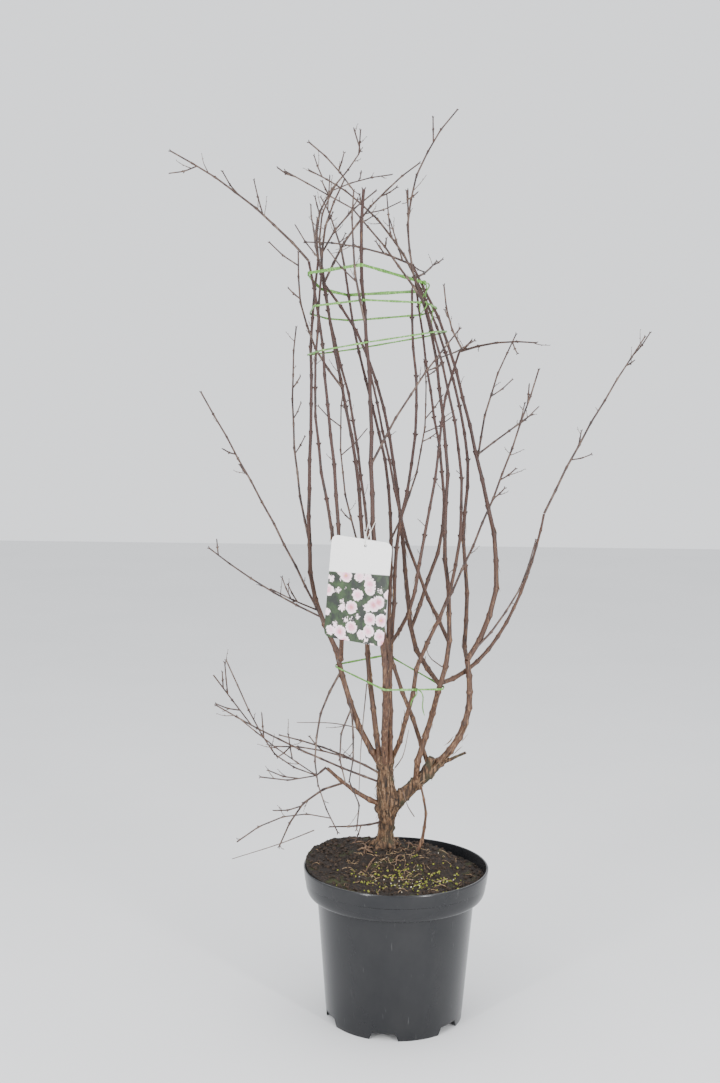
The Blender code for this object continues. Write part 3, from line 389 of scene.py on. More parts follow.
# The trunk by height: across, back and radius
trunk = (
    (0.268, -0.018, 0.058, 0.0200),
    (0.280, -0.017, 0.056, 0.0150),
    (0.300, -0.016, 0.052, 0.0132),
    (0.322, -0.015, 0.047, 0.0150),
    (0.345, -0.013, 0.042, 0.0205),
    (0.364, -0.016, 0.037, 0.0172),
    (0.385, -0.019, 0.032, 0.0148),
    (0.408, -0.019, 0.027, 0.0125),
    (0.424, -0.019, 0.023, 0.0150),
    (0.432, -0.019, 0.022, 0.0125),
)
# The round cage that the stems stand on: a size for each level
cage = {
    "levels": (0.44, 0.49, 0.55, 0.61, 0.70, 0.80, 0.91, 1.02, 1.13, 1.24),
    "middle": (-0.020, -0.008, 0.006, 0.006, 0.005, 0.004, -0.006, -0.022, -0.042, -0.065),
    "halfWidth": (0.021, 0.054, 0.105, 0.126, 0.158, 0.162, 0.153, 0.140, 0.122, 0.090),
    "halfDepth": (0.021, 0.041, 0.070, 0.086, 0.110, 0.125, 0.121, 0.112, 0.098, 0.080),
    "setBack": (0.022, 0.020, 0.018, 0.016, 0.012, 0.008, 0.005, 0.002, 0.000, 0.000),
}

stems = {
    "bough_left": dict(
        parent="trunk", at=0.402, share=0.10, foot=0.0055, tip=0.0026, first=0, top=1.240,
        across=(-0.042, -0.067, -0.088, -0.103, -0.140, -0.149, -0.149, -0.147, -0.148, -0.138)),
    "bough_column_left": dict(
        parent="trunk", bearing=202, share=0.35, foot=0.0050, tip=0.0030, first=0, top=1.232,
        across=(-0.031, -0.038, -0.046, -0.052, -0.055, -0.063, -0.073, -0.094, -0.116, -0.132)),
    "bough_centre": dict(
        parent="trunk", bearing=265, share=-0.80, foot=0.0055, tip=0.0032, first=0, top=1.345,
        across=(-0.021, -0.021, -0.021, -0.025, -0.036, -0.044, -0.050, -0.052, -0.061, -0.070,
                -0.067)),
    "bough_column_right": dict(
        parent="trunk", bearing=318, share=-0.35, foot=0.0045, tip=0.0025, first=0, top=1.196,
        across=(-0.012, -0.012, -0.014, -0.014, -0.010, -0.007, 0.013, 0.021, 0.012, 0.011)),
    "bough_column_back": dict(
        parent="trunk", bearing=110, share=0.85, foot=0.0045, tip=0.0025, first=0, top=1.232,
        across=(-0.022, -0.022, -0.019, -0.017, -0.014, -0.014, -0.024, -0.051, -0.079, -0.096)),
    "bough_column_outer": dict(
        parent="trunk", bearing=30, share=-0.60, foot=0.0042, tip=0.0024, first=0, top=1.168,
        across=(-0.003, 0.010, 0.023, 0.033, 0.072, 0.091, 0.092, 0.074, 0.045, 0.033)),
    "bough_right_bow": dict(
        parent="bough_right_low", at=0.598, share=0.30, foot=0.0050, tip=0.0028, first=3, top=1.235,
        across=(0.124, 0.156, 0.153, 0.127, 0.099, 0.065, 0.013)),
    "bough_right_upright": dict(
        parent="bough_right_low", at=0.600, share=0.70, foot=0.0040, tip=0.0026, first=3, top=1.222,
        across=(0.110, 0.114, 0.106, 0.111, 0.092, 0.058, 0.016)),
    "bough_right_inner": dict(
        parent="bough_right_low", at=0.381, share=-0.45, foot=0.0055, tip=0.0028, first=0, top=1.215,
        across=(0.037, 0.054, 0.064, 0.079, 0.078, 0.068, 0.071, 0.059, 0.042, 0.014)),
    "bough_crossing": dict(
        parent="bough_right_low", at=0.405, share=0.72, foot=0.0040, tip=0.0025, first=1, top=1.209,
        across=(0.026, 0.002, -0.019, -0.038, -0.053, -0.068, -0.086, -0.115, -0.131)),
    "bough_middle": dict(
        parent="bough_right_inner", at=0.560, share=0.55, foot=0.0045, tip=0.0028, first=3, top=1.205,
        across=(0.028, 0.014, 0.004, -0.011, -0.033, -0.075, -0.128)),
    "bough_middle_right": dict(
        parent="bough_middle", at=0.640, share=0.85, foot=0.0036, tip=0.0024, first=4, top=1.216,
        across=(0.044, 0.073, 0.069, 0.050, 0.032, 0.018)),
    "bough_inner_left": dict(
        parent="bough_right_inner", at=0.632, share=0.35, foot=0.0034, tip=0.0024, first=4, top=1.062,
        across=(0.046, 0.008, -0.017, -0.042, -0.052)),
    "bough_front": dict(
        parent="bough_column_right", at=0.630, share=-0.90, foot=0.0034, tip=0.0024, first=4,
        top=1.098, across=(0.015, 0.031, 0.050, 0.062, 0.087)),
    "bough_left_front": dict(
        parent="bough_left", at=0.592, share=-0.90, foot=0.0042, tip=0.0026, first=3, top=1.237,
        across=(-0.094, -0.095, -0.099, -0.107, -0.120, -0.131, -0.152)),
    "bough_left_inner": dict(
        parent="bough_left_front", at=0.690, share=-0.55, foot=0.0032, tip=0.0023, first=5,
        top=1.216, across=(-0.108, -0.129, -0.140, -0.137, -0.132)),
}

sideLimbs = {
    "bough_right_low": dict(
        parent="trunk", start=(-0.007, 0.040, 0.344), leave=(0.073, 0.002, 0.076),
        arrive=(-0.028, -0.012, 0.148), tip=(0.112, 0.012, 0.598), foot=0.0112, end=0.0066,
        snags=((0.22, (0.058, 0.027, 0.429), 0.0075, 0.0062),
               (0.33, (0.112, 0.008, 0.444), 0.0034, 0.0022))),
    "bough_left_low": dict(
        parent="trunk", start=(-0.018, 0.040, 0.342), leave=(-0.042, -0.013, 0.018),
        arrive=(-0.028, -0.010, 0.029), tip=(-0.116, 0.018, 0.412), foot=0.0050, end=0.0038),
    "bough_sucker": dict(
        parent=None, start=(0.034, 0.032, 0.262), leave=(0.018, 0.000, 0.034),
        arrive=(-0.014, -0.004, 0.040), tip=(0.040, 0.018, 0.384), foot=0.0034, end=0.0024),
    "bough_far_right": dict(
        parent="bough_right_inner", start=(0.069, -0.007, 0.563), leave=(0.110, 0.098, 0.012),
        arrive=(0.018, 0.033, 0.082), tip=(0.238, 0.060, 0.836), foot=0.0042, end=0.0026),
}
limbOrder = list(sideLimbs)[:3] + list(stems) + list(sideLimbs)[3:]


def clamped(value):
    return max(0.0, min(1.0, value))


def outward(bearing):
    turn = math.radians(bearing)
    return Vector((math.cos(turn), math.sin(turn), 0.0))


def sideways(along, turn):
    # Square to the way along, turned about it
    side = along.orthogonal().normalized()
    side.rotate(Matrix.Rotation(turn, 3, along))
    return side


def atLevel(key, height):
    # Straight interpolation of a row of the cage's sizes
    levels, values = cage["levels"], cage[key]
    if height <= levels[0]:
        return values[0]
    for k in range(len(levels) - 1):
        if height <= levels[k + 1]:
            share = (height - levels[k]) / (levels[k + 1] - levels[k])
            return values[k] + (values[k + 1] - values[k]) * share
    return values[-1]


def cagePlace(across, height, share):
    # The point of the cage so far across: it stands on an ellipse, in front or behind
    off = min(1.0, abs(across - atLevel("middle", height)) / atLevel("halfWidth", height))
    depth = atLevel("halfDepth", height) * math.sqrt(1.0 - off * off)
    return Vector((across, atLevel("setBack", height) + share * depth, height))


def smoothLine(points, step):
    # A smooth curve through the points, cut into even steps
    ends = [points[0] * 2 - points[1]] + list(points) + [points[-1] * 2 - points[-2]]
    fine = []
    for k in range(1, len(ends) - 2):
        a, b, c, d = ends[k - 1:k + 3]
        for j in range(12):
            t = j / 12
            fine.append(0.5 * ((2 * b) + (c - a) * t + (2 * a - 5 * b + 4 * c - d) * t * t
                               + (3 * b - a - 3 * c + d) * t ** 3))
    fine.append(points[-1].copy())
    return evenSteps(fine, step)


def evenSteps(line, step):
    lengths = [0.0]
    for a, b in zip(line, line[1:]):
        lengths.append(lengths[-1] + (b - a).length)
    count = max(2, round(lengths[-1] / step))
    made = []
    k = 0
    for j in range(count + 1):
        want = lengths[-1] * j / count
        while k < len(line) - 2 and lengths[k + 1] < want:
            k += 1
        span = max(lengths[k + 1] - lengths[k], 1e-9)
        made.append(line[k].lerp(line[k + 1], min(1.0, (want - lengths[k]) / span)))
    return made


def bentLine(start, leave, arrive, tip, step):
    a, b, c, d = start, start + leave, tip - arrive, tip
    fine = []
    for k in range(33):
        t = k / 32
        fine.append(a * (1 - t) ** 3 + b * 3 * t * (1 - t) ** 2 + c * 3 * t * t * (1 - t) + d * t ** 3)
    return evenSteps(fine, step)


def bowedLine(start, tip, bow, step):
    middle = (start + tip) / 2 + Vector((bow[0], 0.0, bow[1])) * 2
    leave = (middle - start) * 2 / 3
    arrive = (tip - middle) * 2 / 3
    return bentLine(start, leave, arrive, tip, step)


def kinked(line, seed):
    # Shoots turn a little from side to side at their knots
    maker = random.Random(seed)
    side = Vector((math.cos(seed), math.sin(seed), 0.0))
    made = [line[0]]
    for k, point in enumerate(line[1:-1]):
        made.append(point + side * limbShape["kink"] * (1 if k % 2 else -1) * maker.uniform(0.4, 1.0))
    made.append(line[-1])
    return made


def taper(count, foot, tip):
    return [foot + (tip - foot) * k / (count - 1) for k in range(count)]


class Limb:
    # A line of places and radii, kept so that others can spring from it or keep clear
    def __init__(self, line, radii):
        self.line = line
        self.radii = radii

    def atHeight(self, height):
        for k in range(len(self.line) - 1):
            a, b = self.line[k], self.line[k + 1]
            if a.z <= height <= b.z:
                share = (height - a.z) / (b.z - a.z)
                return self.between(k, share)
        return self.between(len(self.line) - 2, 1.0)

    def atShare(self, share):
        place = share * (len(self.line) - 1)
        k = min(int(place), len(self.line) - 2)
        return self.between(k, place - k)

    def between(self, k, share):
        a, b = self.line[k], self.line[k + 1]
        radius = self.radii[k] + (self.radii[k + 1] - self.radii[k]) * share
        return a.lerp(b, share), (b - a).normalized(), radius


def stemLine(row, limbs):
    # From its foot, through its place at each level, to its top
    if "bearing" in row:
        head = limbs["trunk"].line[-1]
        foot = head + outward(row["bearing"]) * limbShape["headRing"]
        foot.z = head.z - limbShape["headDrop"]
    else:
        foot = limbs[row["parent"]].atHeight(row["at"])[0]
    points = [foot]
    count = len(row["across"])
    for k, across in enumerate(row["across"]):
        height = row["top"] if k == count - 1 else cage["levels"][row["first"] + k]
        points.append(cagePlace(across, height, row["share"]))
    return smoothLine(points, limbShape["nodeStep"])


def limbLine(row, limbs):
    if "leave" in row:
        line = bentLine(Vector(row["start"]), Vector(row["leave"]), Vector(row["arrive"]),
                        Vector(row["tip"]), limbShape["nodeStep"] * 0.6)
        radii = taper(len(line), row["foot"], row["end"])
    else:
        line = stemLine(row, limbs)
        radii = taper(len(line), row["foot"], row["tip"])
    if row["parent"] in stems:
        radii[0] = min(radii[0], 0.75 * limbs[row["parent"]].atHeight(line[0].z)[2])
    return Limb(kinked(line, seed=len(limbs)), radii)


limbs = {"trunk": Limb([Vector((across, back, height)) for height, across, back, radius in trunk],
                       [row[3] for row in trunk])}
for name in limbOrder:
    limbs[name] = limbLine(sideLimbs.get(name) or stems[name], limbs)
print("limb lines set out:", len(limbs))


# Trunk: one skin over the tube, its burls and its root toes

trunkShape = {"toes": 5, "firstToe": 20, "toeRadii": (0.0070, 0.0066, 0.0040), "toeReach": (0.013, 0.031),
              "toeEnd": 0.264, "voxel": 0.0011, "smoothing": 6, "lumps": (0.010, 0.0042),
              "grain": (0.0028, 0.0013), "burlOut": 0.75,
              "burls": ((0.340, 200, 0.0105), (0.352, 300, 0.0100), (0.330, 60, 0.0090),
                        (0.414, 150, 0.0080), (0.300, 20, 0.0060), (0.376, 240, 0.0055))}


def makeTrunk():
    line = [place.copy() for place in limbs["trunk"].line]
    line[0].z -= 0.006
    line[-1].z += 0.004
    radii = limbs["trunk"].radii
    tubes = [(line, radii)]
    near, far = trunkShape["toeReach"]
    for k in range(trunkShape["toes"]):
        out = outward(trunkShape["firstToe"] + 360 * k / trunkShape["toes"])
        toe = [line[2] + Vector((0, 0, -0.004)), line[1] + out * near + Vector((0, 0, -0.006)),
               Vector((line[0].x, line[0].y, trunkShape["toeEnd"])) + out * far]
        tubes.append((toe, trunkShape["toeRadii"]))
    low = limbs["bough_right_low"]
    tubes.append((low.line[:3], [low.radii[0] * 1.25, low.radii[1] * 1.12, low.radii[2]]))
    pieces = [curvePiece("trunkTubes", tubes, 4, trunkBark)]
    for height, bearing, size in trunkShape["burls"]:
        place, along, radius = Limb(line, radii).atHeight(height)
        place = place + outward(bearing) * radius * trunkShape["burlOut"]
        deselectAll()
        bpy.ops.mesh.primitive_uv_sphere_add(segments=20, ring_count=12, radius=size, location=place)
        pieces.append(bpy.context.view_layer.objects.active)
    made = joinPieces("trunkSkin", pieces)
    wear(made, trunkBark)
    applyModifier(made, "REMESH", mode="VOXEL", voxel_size=trunkShape["voxel"])
    applyModifier(made, "SMOOTH", iterations=trunkShape["smoothing"], factor=0.6)
    roughen(made, *trunkShape["lumps"])
    roughen(made, *trunkShape["grain"])
    softShade(made)
    settlePiece(made, "bark", "trunk")


makeTrunk()
print("trunk made")


# Stems: a knot at every kink, and bark that peels on the old wood

stemShape = {"knots": (0.0040, 0.30, 0.0034), "snagKnots": (0.003, 0.12, 0.004), "tipShare": 0.76,
             "grain": (0.004, 0.0006), "armSplit": 0.36, "armTop": 0.66, "armLumps": (0.006, 0.0026),
             "armGrain": (0.0022, 0.0010)}


def knotted(limb, step, knot, knotLength):
    # The limb's line again in fine steps, thicker round each of its knots
    points = []
    radii = []
    for k in range(len(limb.line) - 1):
        a, b = limb.line[k], limb.line[k + 1]
        length = (b - a).length
        count = max(2, round(length / step))
        for j in range(count):
            away = min(j / count, 1.0 - j / count) * length
            radius = limb.radii[k] + (limb.radii[k + 1] - limb.radii[k]) * j / count
            first = k == 0 and j / count < 0.5
            swell = 0.0 if first else knot * math.exp(-(away / knotLength) ** 2)
            points.append(a.lerp(b, j / count))
            radii.append(radius * (1.0 + swell))
    points.append(limb.line[-1].copy())
    radii.append(limb.radii[-1] * 1.05)
    return rounded(points), radii


def rounded(points):
    # Takes the corner off each kink, so that a stem bends and doesn't fold
    made = [points[0]]
    for a, b, c in zip(points, points[1:], points[2:]):
        made.append(a * 0.25 + b * 0.5 + c * 0.25)
    made.append(points[-1])
    return made


def armShare(share):
    # Slims the arm from just below its split
    blend = clamped((share - stemShape["armSplit"] + 0.12) / 0.20)
    return 1.0 + (stemShape["armTop"] - 1.0) * blend


def makeStems():
    old = []
    young = []
    for name in limbOrder:
        points, radii = knotted(limbs[name], *stemShape["knots"])
        count = len(points) - 1
        if name == "bough_right_low":  # thick and peeling to its stub, then slimmer and darker
            cut = int(count * stemShape["armSplit"])
            radii = [radius * armShare(k / count) for k, radius in enumerate(radii)]
            old.append((points[:cut + 4], radii[:cut + 3] + [radii[cut + 3] * 0.8]))
            young.append((points[cut:], radii[cut:]))
        else:
            slim = [radius * (1.0 + (stemShape["tipShare"] - 1.0) * min(1.0, 1.6 * k / count))
                    for k, radius in enumerate(radii)]
            young.append((points, slim))
        for share, tip, foot, end in (sideLimbs.get(name) or {}).get("snags", ()):
            start = limbs[name].atShare(share)[0]
            tip = Vector(tip)
            snag = Limb([start, start.lerp(tip, 0.5), tip], [foot * 1.1, (foot + end) / 2, end])
            old.append(knotted(snag, *stemShape["snagKnots"]))
    arm = curvePiece("lowArm", old, 5, trunkBark)
    roughen(arm, *stemShape["armLumps"])
    roughen(arm, *stemShape["armGrain"])
    softShade(arm)
    settlePiece(arm, "bark", "bough_right_low")
    made = curvePiece("stemsAll", young, 3, stemBark)
    roughen(made, *stemShape["grain"])
    softShade(made, 70)
    settlePiece(made, "bark", *[name for name in limbOrder if name != "bough_right_low"])


makeStems()
print("stems made")


# Ties, first as lines: the twigs keep clear of them

ties = {
    "tie_low": dict(height=0.567, across=-0.123, back=0.226, radius=0.0016),
    "tie_neck": dict(height=1.120, across=0.181, back=-0.024, radius=0.0014),
    "tie_upper": dict(height=1.168, across=0.062, back=-0.155, radius=0.0014),
    "tie_top": dict(height=1.211, across=0.001, back=-0.260, radius=0.0020),
}
tieFit = {"turns": 12, "slack": 1.10}


def crossings(row, limbs):
    # Where each stem passes through the tie's plane
    found = []
    for name in stems:
        limb = limbs[name]
        for k in range(len(limb.line) - 1):
            a, b = limb.line[k], limb.line[k + 1]
            below = a.z - tieHeight(row, a)
            above = b.z - tieHeight(row, b)
            if below <= 0 < above:
                share = below / (below - above)
                radius = limb.radii[k] + (limb.radii[k + 1] - limb.radii[k]) * share
                found.append((a.lerp(b, share), radius))
    return found


def tieHeight(row, place):
    return row["height"] + row["across"] * place.x + row["back"] * place.y


def hull(points):
    # The outer points, in order round the ring
    points = sorted(set(points))
    sides = []
    for order in (points, points[::-1]):
        chain = []
        for p in order:
            while len(chain) > 1 and turnOf(chain[-2], chain[-1], p) <= 0:
                chain.pop()
            chain.append(p)
        sides += chain[:-1]
    return sides


def turnOf(a, b, c):
    return (b[0] - a[0]) * (c[1] - a[1]) - (b[1] - a[1]) * (c[0] - a[0])


def tieLine(row):
    # Drawn tight round the stems: their hull, grown by its own radius
    ring = []
    for place, radius in crossings(row, limbs):
        turns = tieFit["turns"]
        out = (radius + row["radius"]) * tieFit["slack"] / math.cos(math.pi / turns) + airGap
        for k in range(turns):
            turn = 2 * math.pi * k / turns
            ring.append((round(place.x + out * math.cos(turn), 6), round(place.y + out * math.sin(turn), 6)))
    line = []
    for x, y in hull(ring):
        line.append(Vector((x, y, tieHeight(row, Vector((x, y, 0.0))))))
    return line


tieLimbs = {}
for name, row in ties.items():
    line = tieLine(row)
    tieLimbs[name] = Limb(line + line[:1], [row["radius"]] * (len(line) + 1))
limbs.update(tieLimbs)


# Twigs: the leading shoots and side twigs of each mass, then finer ones in the same reach

# A shoot is its tip and its bow, and for a fork also the shoot that it leaves and how far along
masses = {
    "twigs_far_left": dict(limb="bough_left_front", twigs=3, shoots=(
        ((-0.360, -0.100, 1.394), (0.007, 0.011)),)),
    "twigs_left_curl": dict(limb="bough_left", twigs=3, shoots=(
        ((-0.092, -0.050, 1.375), (-0.020, 0.006)),
        ((-0.083, -0.060, 1.436), (0.016, 0.000), 0, 1.0))),
    "twigs_left_arch": dict(limb="bough_column_left", twigs=2, shoots=(
        ((-0.117, 0.050, 1.357), (-0.012, 0.002)),
        ((-0.022, 0.110, 1.390), (-0.002, 0.004), 0, 1.0),
        ((-0.048, -0.020, 1.348), (-0.008, 0.005), 0, 0.15))),
    "twigs_left_across": dict(limb="bough_middle", twigs=3, shoots=(
        ((0.025, 0.120, 1.411), (-0.014, 0.012)),)),
    "twigs_left_back": dict(limb="bough_crossing", twigs=3, shoots=(
        ((-0.158, 0.220, 1.352), (-0.004, 0.010)),)),
    "twigs_left_front": dict(limb="bough_left_inner", twigs=2, shoots=(
        ((-0.096, -0.140, 1.349), (-0.010, 0.004)),)),
    "twigs_back": dict(limb="bough_column_back", twigs=3, shoots=(
        ((-0.140, 0.180, 1.361), (0.004, 0.006)),)),
    "twigs_centre_hook": dict(limb="bough_centre", at=1.136, twigs=2, shoots=(
        ((-0.082, -0.100, 1.339), (-0.009, 0.000)),
        ((-0.149, -0.150, 1.402), (0.002, 0.004), 0, 1.0))),
    "twigs_top": dict(limb="bough_right_inner", twigs=3, shoots=(
        ((0.077, -0.020, 1.473), (-0.035, 0.008)),
        ((0.001, -0.060, 1.345), (0.000, 0.000), 0, 0.22))),
    "twigs_right_sweep": dict(limb="bough_right_bow", twigs=2, shoots=(
        ((-0.162, 0.064, 1.275), (0.003, 0.010)),
        ((-0.024, 0.060, 1.312), (0.000, 0.000), 0, 0.10))),
    "twigs_right_back": dict(limb="bough_right_upright", twigs=4, shoots=(
        ((-0.160, 0.170, 1.404), (0.016, 0.015)),)),
    "twigs_right_short": dict(limb="bough_middle_right", twigs=2, shoots=(
        ((0.057, 0.140, 1.253), (0.002, -0.003)),)),
    "twigs_right_across": dict(limb="bough_column_outer", twigs=3, shoots=(
        ((-0.084, -0.150, 1.307), (0.003, 0.003)),
        ((-0.183, -0.170, 1.357), (0.000, 0.000), 0, 1.0))),
    "twigs_right_front": dict(limb="bough_front", twigs=2, shoots=(
        ((0.193, -0.160, 1.112), (0.000, 0.007)),
        ((0.104, -0.060, 1.117), (0.000, 0.000), 0, 0.05),
        ((0.058, -0.080, 1.200), (-0.007, -0.002), 0, 0.05))),
    "twigs_front": dict(limb="bough_centre", at=0.922, twigs=2, shoots=(
        ((0.081, -0.130, 1.133), (-0.007, 0.004)),)),
    "twigs_left_thin": dict(limb="bough_column_left", at=1.040, twigs=2, shoots=(
        ((-0.167, -0.060, 1.249), (-0.022, -0.008)),)),
    "twigs_left_upright": dict(limb="bough_left", at=0.785, twigs=3, shoots=(
        ((-0.175, 0.070, 1.138), (-0.015, -0.001)),)),
    "twigs_left_middle": dict(limb="bough_left", at=0.648, twigs=5, shoots=(
        ((-0.311, -0.120, 1.032), (0.003, 0.003)),
        ((-0.316, 0.050, 0.774), (-0.003, -0.006), 0, 0.05),
        ((-0.208, -0.030, 0.718), (-0.001, -0.001), 0, 0.08))),
    "twigs_right_thin": dict(limb="bough_right_bow", at=0.926, twigs=2, shoots=(
        ((0.189, 0.100, 1.132), (-0.010, 0.003)),
        ((0.221, 0.120, 0.999), (0.012, 0.010), 0, 0.05))),
    "twigs_right_fork": dict(limb="bough_right_bow", at=0.612, twigs=1, shoots=(
        ((0.222, 0.030, 0.796), (0.016, -0.006)),)),
    "twigs_far_right": dict(limb="bough_far_right", twigs=4, shoots=(
        ((0.403, 0.100, 1.130), (-0.007, 0.001)),)),
    "twigs_right_middle": dict(limb="bough_column_outer", at=0.683, twigs=4, shoots=(
        ((0.193, -0.200, 1.072), (0.008, -0.001)),)),
    "twigs_rear_right": dict(limb="bough_column_back", at=0.785, twigs=4, shoots=(
        ((0.044, 0.270, 1.089), (0.023, -0.005)),)),
    "twigs_rear_left": dict(limb="bough_crossing", at=0.715, twigs=4, shoots=(
        ((-0.098, 0.250, 1.044), (-0.025, -0.010)),)),
    "twigs_low_left": dict(limb="trunk", at=0.382, twigs=3, shoots=(
        ((-0.296, -0.030, 0.527), (-0.005, -0.006)),
        ((-0.302, 0.000, 0.569), (0.002, -0.003), 0, 0.79))),
    "twigs_low_left_upper": dict(limb="trunk", at=0.396, twigs=2, shoots=(
        ((-0.197, 0.060, 0.457), (0.004, 0.007)),
        ((-0.203, 0.010, 0.450), (0.000, 0.010), 0, 0.20))),
    "twigs_low_left_tip": dict(limb="bough_left_low", twigs=3, shoots=(
        ((-0.134, 0.010, 0.401), (0.000, 0.001)),
        ((-0.225, 0.020, 0.467), (-0.013, -0.008), 0, 1.0),
        ((-0.286, 0.040, 0.588), (0.003, -0.010), 1, 1.0),
        ((-0.261, -0.050, 0.514), (-0.002, -0.002), 0, 1.0),
        ((-0.224, -0.030, 0.409), (0.000, -0.007), 0, 1.0))),
    "twigs_low_left_droop": dict(limb="bough_left_low", at=0.386, twigs=1, shoots=(
        ((-0.190, -0.080, 0.308), (-0.012, 0.020)),)),
    "twigs_hanging": dict(limb="bough_left", at=0.540, twigs=0, shoots=(
        ((-0.079, -0.020, 0.400), (0.009, 0.000)),
        ((-0.066, -0.030, 0.322), (0.011, 0.000), 0, 1.0),
        ((-0.084, -0.036, 0.399), (-0.015, 0.000), 0, 0.20))),
    "twigs_loop": dict(limb="bough_left", at=0.576, twigs=0, shoots=(
        ((-0.129, -0.050, 0.402), (-0.019, 0.003)),
        ((-0.096, -0.046, 0.322), (-0.003, 0.000), 0, 1.0),
        ((-0.255, -0.090, 0.320), (0.000, 0.022), 1, 0.70))),
    "twigs_trunk_foot": dict(limb="trunk", at=0.315, twigs=1, shoots=(
        ((-0.110, -0.010, 0.321), (0.006, -0.003)),)),
}
massSeeds = {name: 11 + k for k, name in enumerate(masses)}
massSeeds.update(twigs_left_front=47, twigs_right_back=52, twigs_far_right=62)
shootShape = {"foot": 0.0021, "tip": 0.0012, "step": 0.042, "knots": (0.0055, 0.30, 0.0026)}
sideTwigs = {"foot": 0.0013, "tip": 0.0010, "lengths": (0.020, 0.070), "angles": (32, 58), "clearance": 0.002}


def segmentDistance(a, b, c, d):
    # Shortest distance between two straight pieces, by sampling the first
    best = 1.0
    span = d - c
    for k in range(9):
        point = a.lerp(b, k / 8)
        share = max(0.0, min(1.0, (point - c).dot(span) / max(span.length_squared, 1e-12)))
        best = min(best, (point - c - span * share).length)
    return best


def shootStart(row, aim):
    # Just clear of the limb's tip, or inside the limb where the row gives a height
    limb = limbs[row["limb"]]
    if "at" in row:
        return limb.atHeight(row["at"])[0]
    place, along = limb.atShare(1.0)[:2]
    way = (aim - place).normalized()
    lean = math.sqrt(max(0.0, 1.0 - way.dot(along) ** 2))
    return place + along * (airGap + shootShape["foot"] * lean)


def massShoots(row):
    # The leading shoots, each from the limb or forked off an earlier shoot
    made = []
    for tip, bow, *fork in row["shoots"]:
        tip = Vector(tip)
        if fork:
            start, along, foot = made[fork[0]].atShare(fork[1])
            start = start - along * 0.001
            foot = foot * (0.98 if fork[1] == 1.0 else 0.85)
        else:
            start = shootStart(row, tip)
            foot = shootShape["foot"]
        line = kinked(bowedLine(start, tip, bow, shootShape["step"]), seed=2 * len(made) + 3)
        made.append(Limb(line, taper(len(line), foot, shootShape["tip"])))
    return made


def leaving(maker, along, angles):
    # A way off the shoot, to any side of it
    side = sideways(along, maker.uniform(0, 2 * math.pi))
    angle = math.radians(maker.uniform(*angles))
    return along * math.cos(angle) + side * math.sin(angle)


def massTwigs(row, shoots, others, seed):
    # Short side twigs by a seeded rule, left out where they would touch anything else
    maker = random.Random(seed)
    foot, end = sideTwigs["foot"], sideTwigs["tip"]
    made = []
    tries = 0
    while len(made) < row["twigs"] and tries < 60:
        tries += 1
        shoot = maker.choice(shoots)
        place, along = shoot.atShare(maker.uniform(0.25, 0.92))[:2]
        way = leaving(maker, along, sideTwigs["angles"])
        length = maker.uniform(*sideTwigs["lengths"])
        middle = place + way * length * 0.5
        tip = middle + (way + Vector((0, 0, 0.25))).normalized() * length * 0.5
        line = [place, middle, tip]
        if clearOf(line, others) and clearOf(line, made):
            made.append(Limb(line, [foot, (foot + end) / 2, end]))
    return made


def clearOf(line, others):
    # True if the line keeps the clearance from every other limb
    for limb in others:
        for k in range(len(limb.line) - 1):
            c, d = limb.line[k], limb.line[k + 1]
            reach = limb.radii[k] + sideTwigs["foot"] + sideTwigs["clearance"]
            for a, b in zip(line, line[1:]):
                if segmentDistance(a, b, c, d) < reach:
                    return False
    return True


def allTwigs():
    shoots = {name: massShoots(row) for name, row in masses.items()}
    known = list(limbs.values())
    made = {}
    for name, row in masses.items():
        others = list(known)
        for other, lines in shoots.items():
            if other != name:
                others += lines
        twigs = massTwigs(row, shoots[name], others, massSeeds[name])
        known += twigs
        made[name] = (shoots[name], twigs)
    return made


fineTwigs = {"seed": 5, "perShoot": (1, 3), "lengths": (0.006, 0.034), "foot": 0.00080, "tip": 0.00035,
             "angles": (30, 62), "onStems": 34}
lowReach = cadLow + Vector((0.004, 0.004, 0.0))
highReach = cadHigh - Vector((0.004, 0.004, 0.002))


def fineTwig(maker, limb, low, high):
    # A thin twig that leaves at a knot and curls a little upwards, kept inside the solids' box
    place, along, radius = limb.atShare(maker.uniform(low, high))
    way = leaving(maker, along, fineTwigs["angles"])
    length = maker.uniform(*fineTwigs["lengths"])
    line = [place]
    for k in range(4):
        way = (way + Vector((maker.uniform(-0.16, 0.16), maker.uniform(-0.16, 0.16),
                             maker.uniform(-0.04, 0.20)))).normalized()
        line.append(line[-1] + way * length / 4)
    foot = min(fineTwigs["foot"], radius * 0.8)
    inside = all(lowReach.x < p.x < highReach.x and lowReach.y < p.y < highReach.y and p.z < highReach.z
                 for p in line)
    return Limb(line, taper(5, foot, fineTwigs["tip"])) if inside else None


def growFine(twigs):
    maker = random.Random(fineTwigs["seed"])
    made = []
    for shoots, sides in twigs.values():
        for limb in shoots + sides:
            count = maker.randint(*fineTwigs["perShoot"]) if limb in shoots else maker.randint(0, 1)
            made += [fineTwig(maker, limb, 0.15, 0.98) for k in range(count)]
    for k in range(fineTwigs["onStems"]):
        made.append(fineTwig(maker, limbs[maker.choice(list(stems))], 0.30, 0.98))
    return [limb for limb in made if limb]


budShape = {"length": 0.0034, "radius": 0.0011, "onShoots": 0.80, "onTwigs": 0.50, "onStems": 1.15}


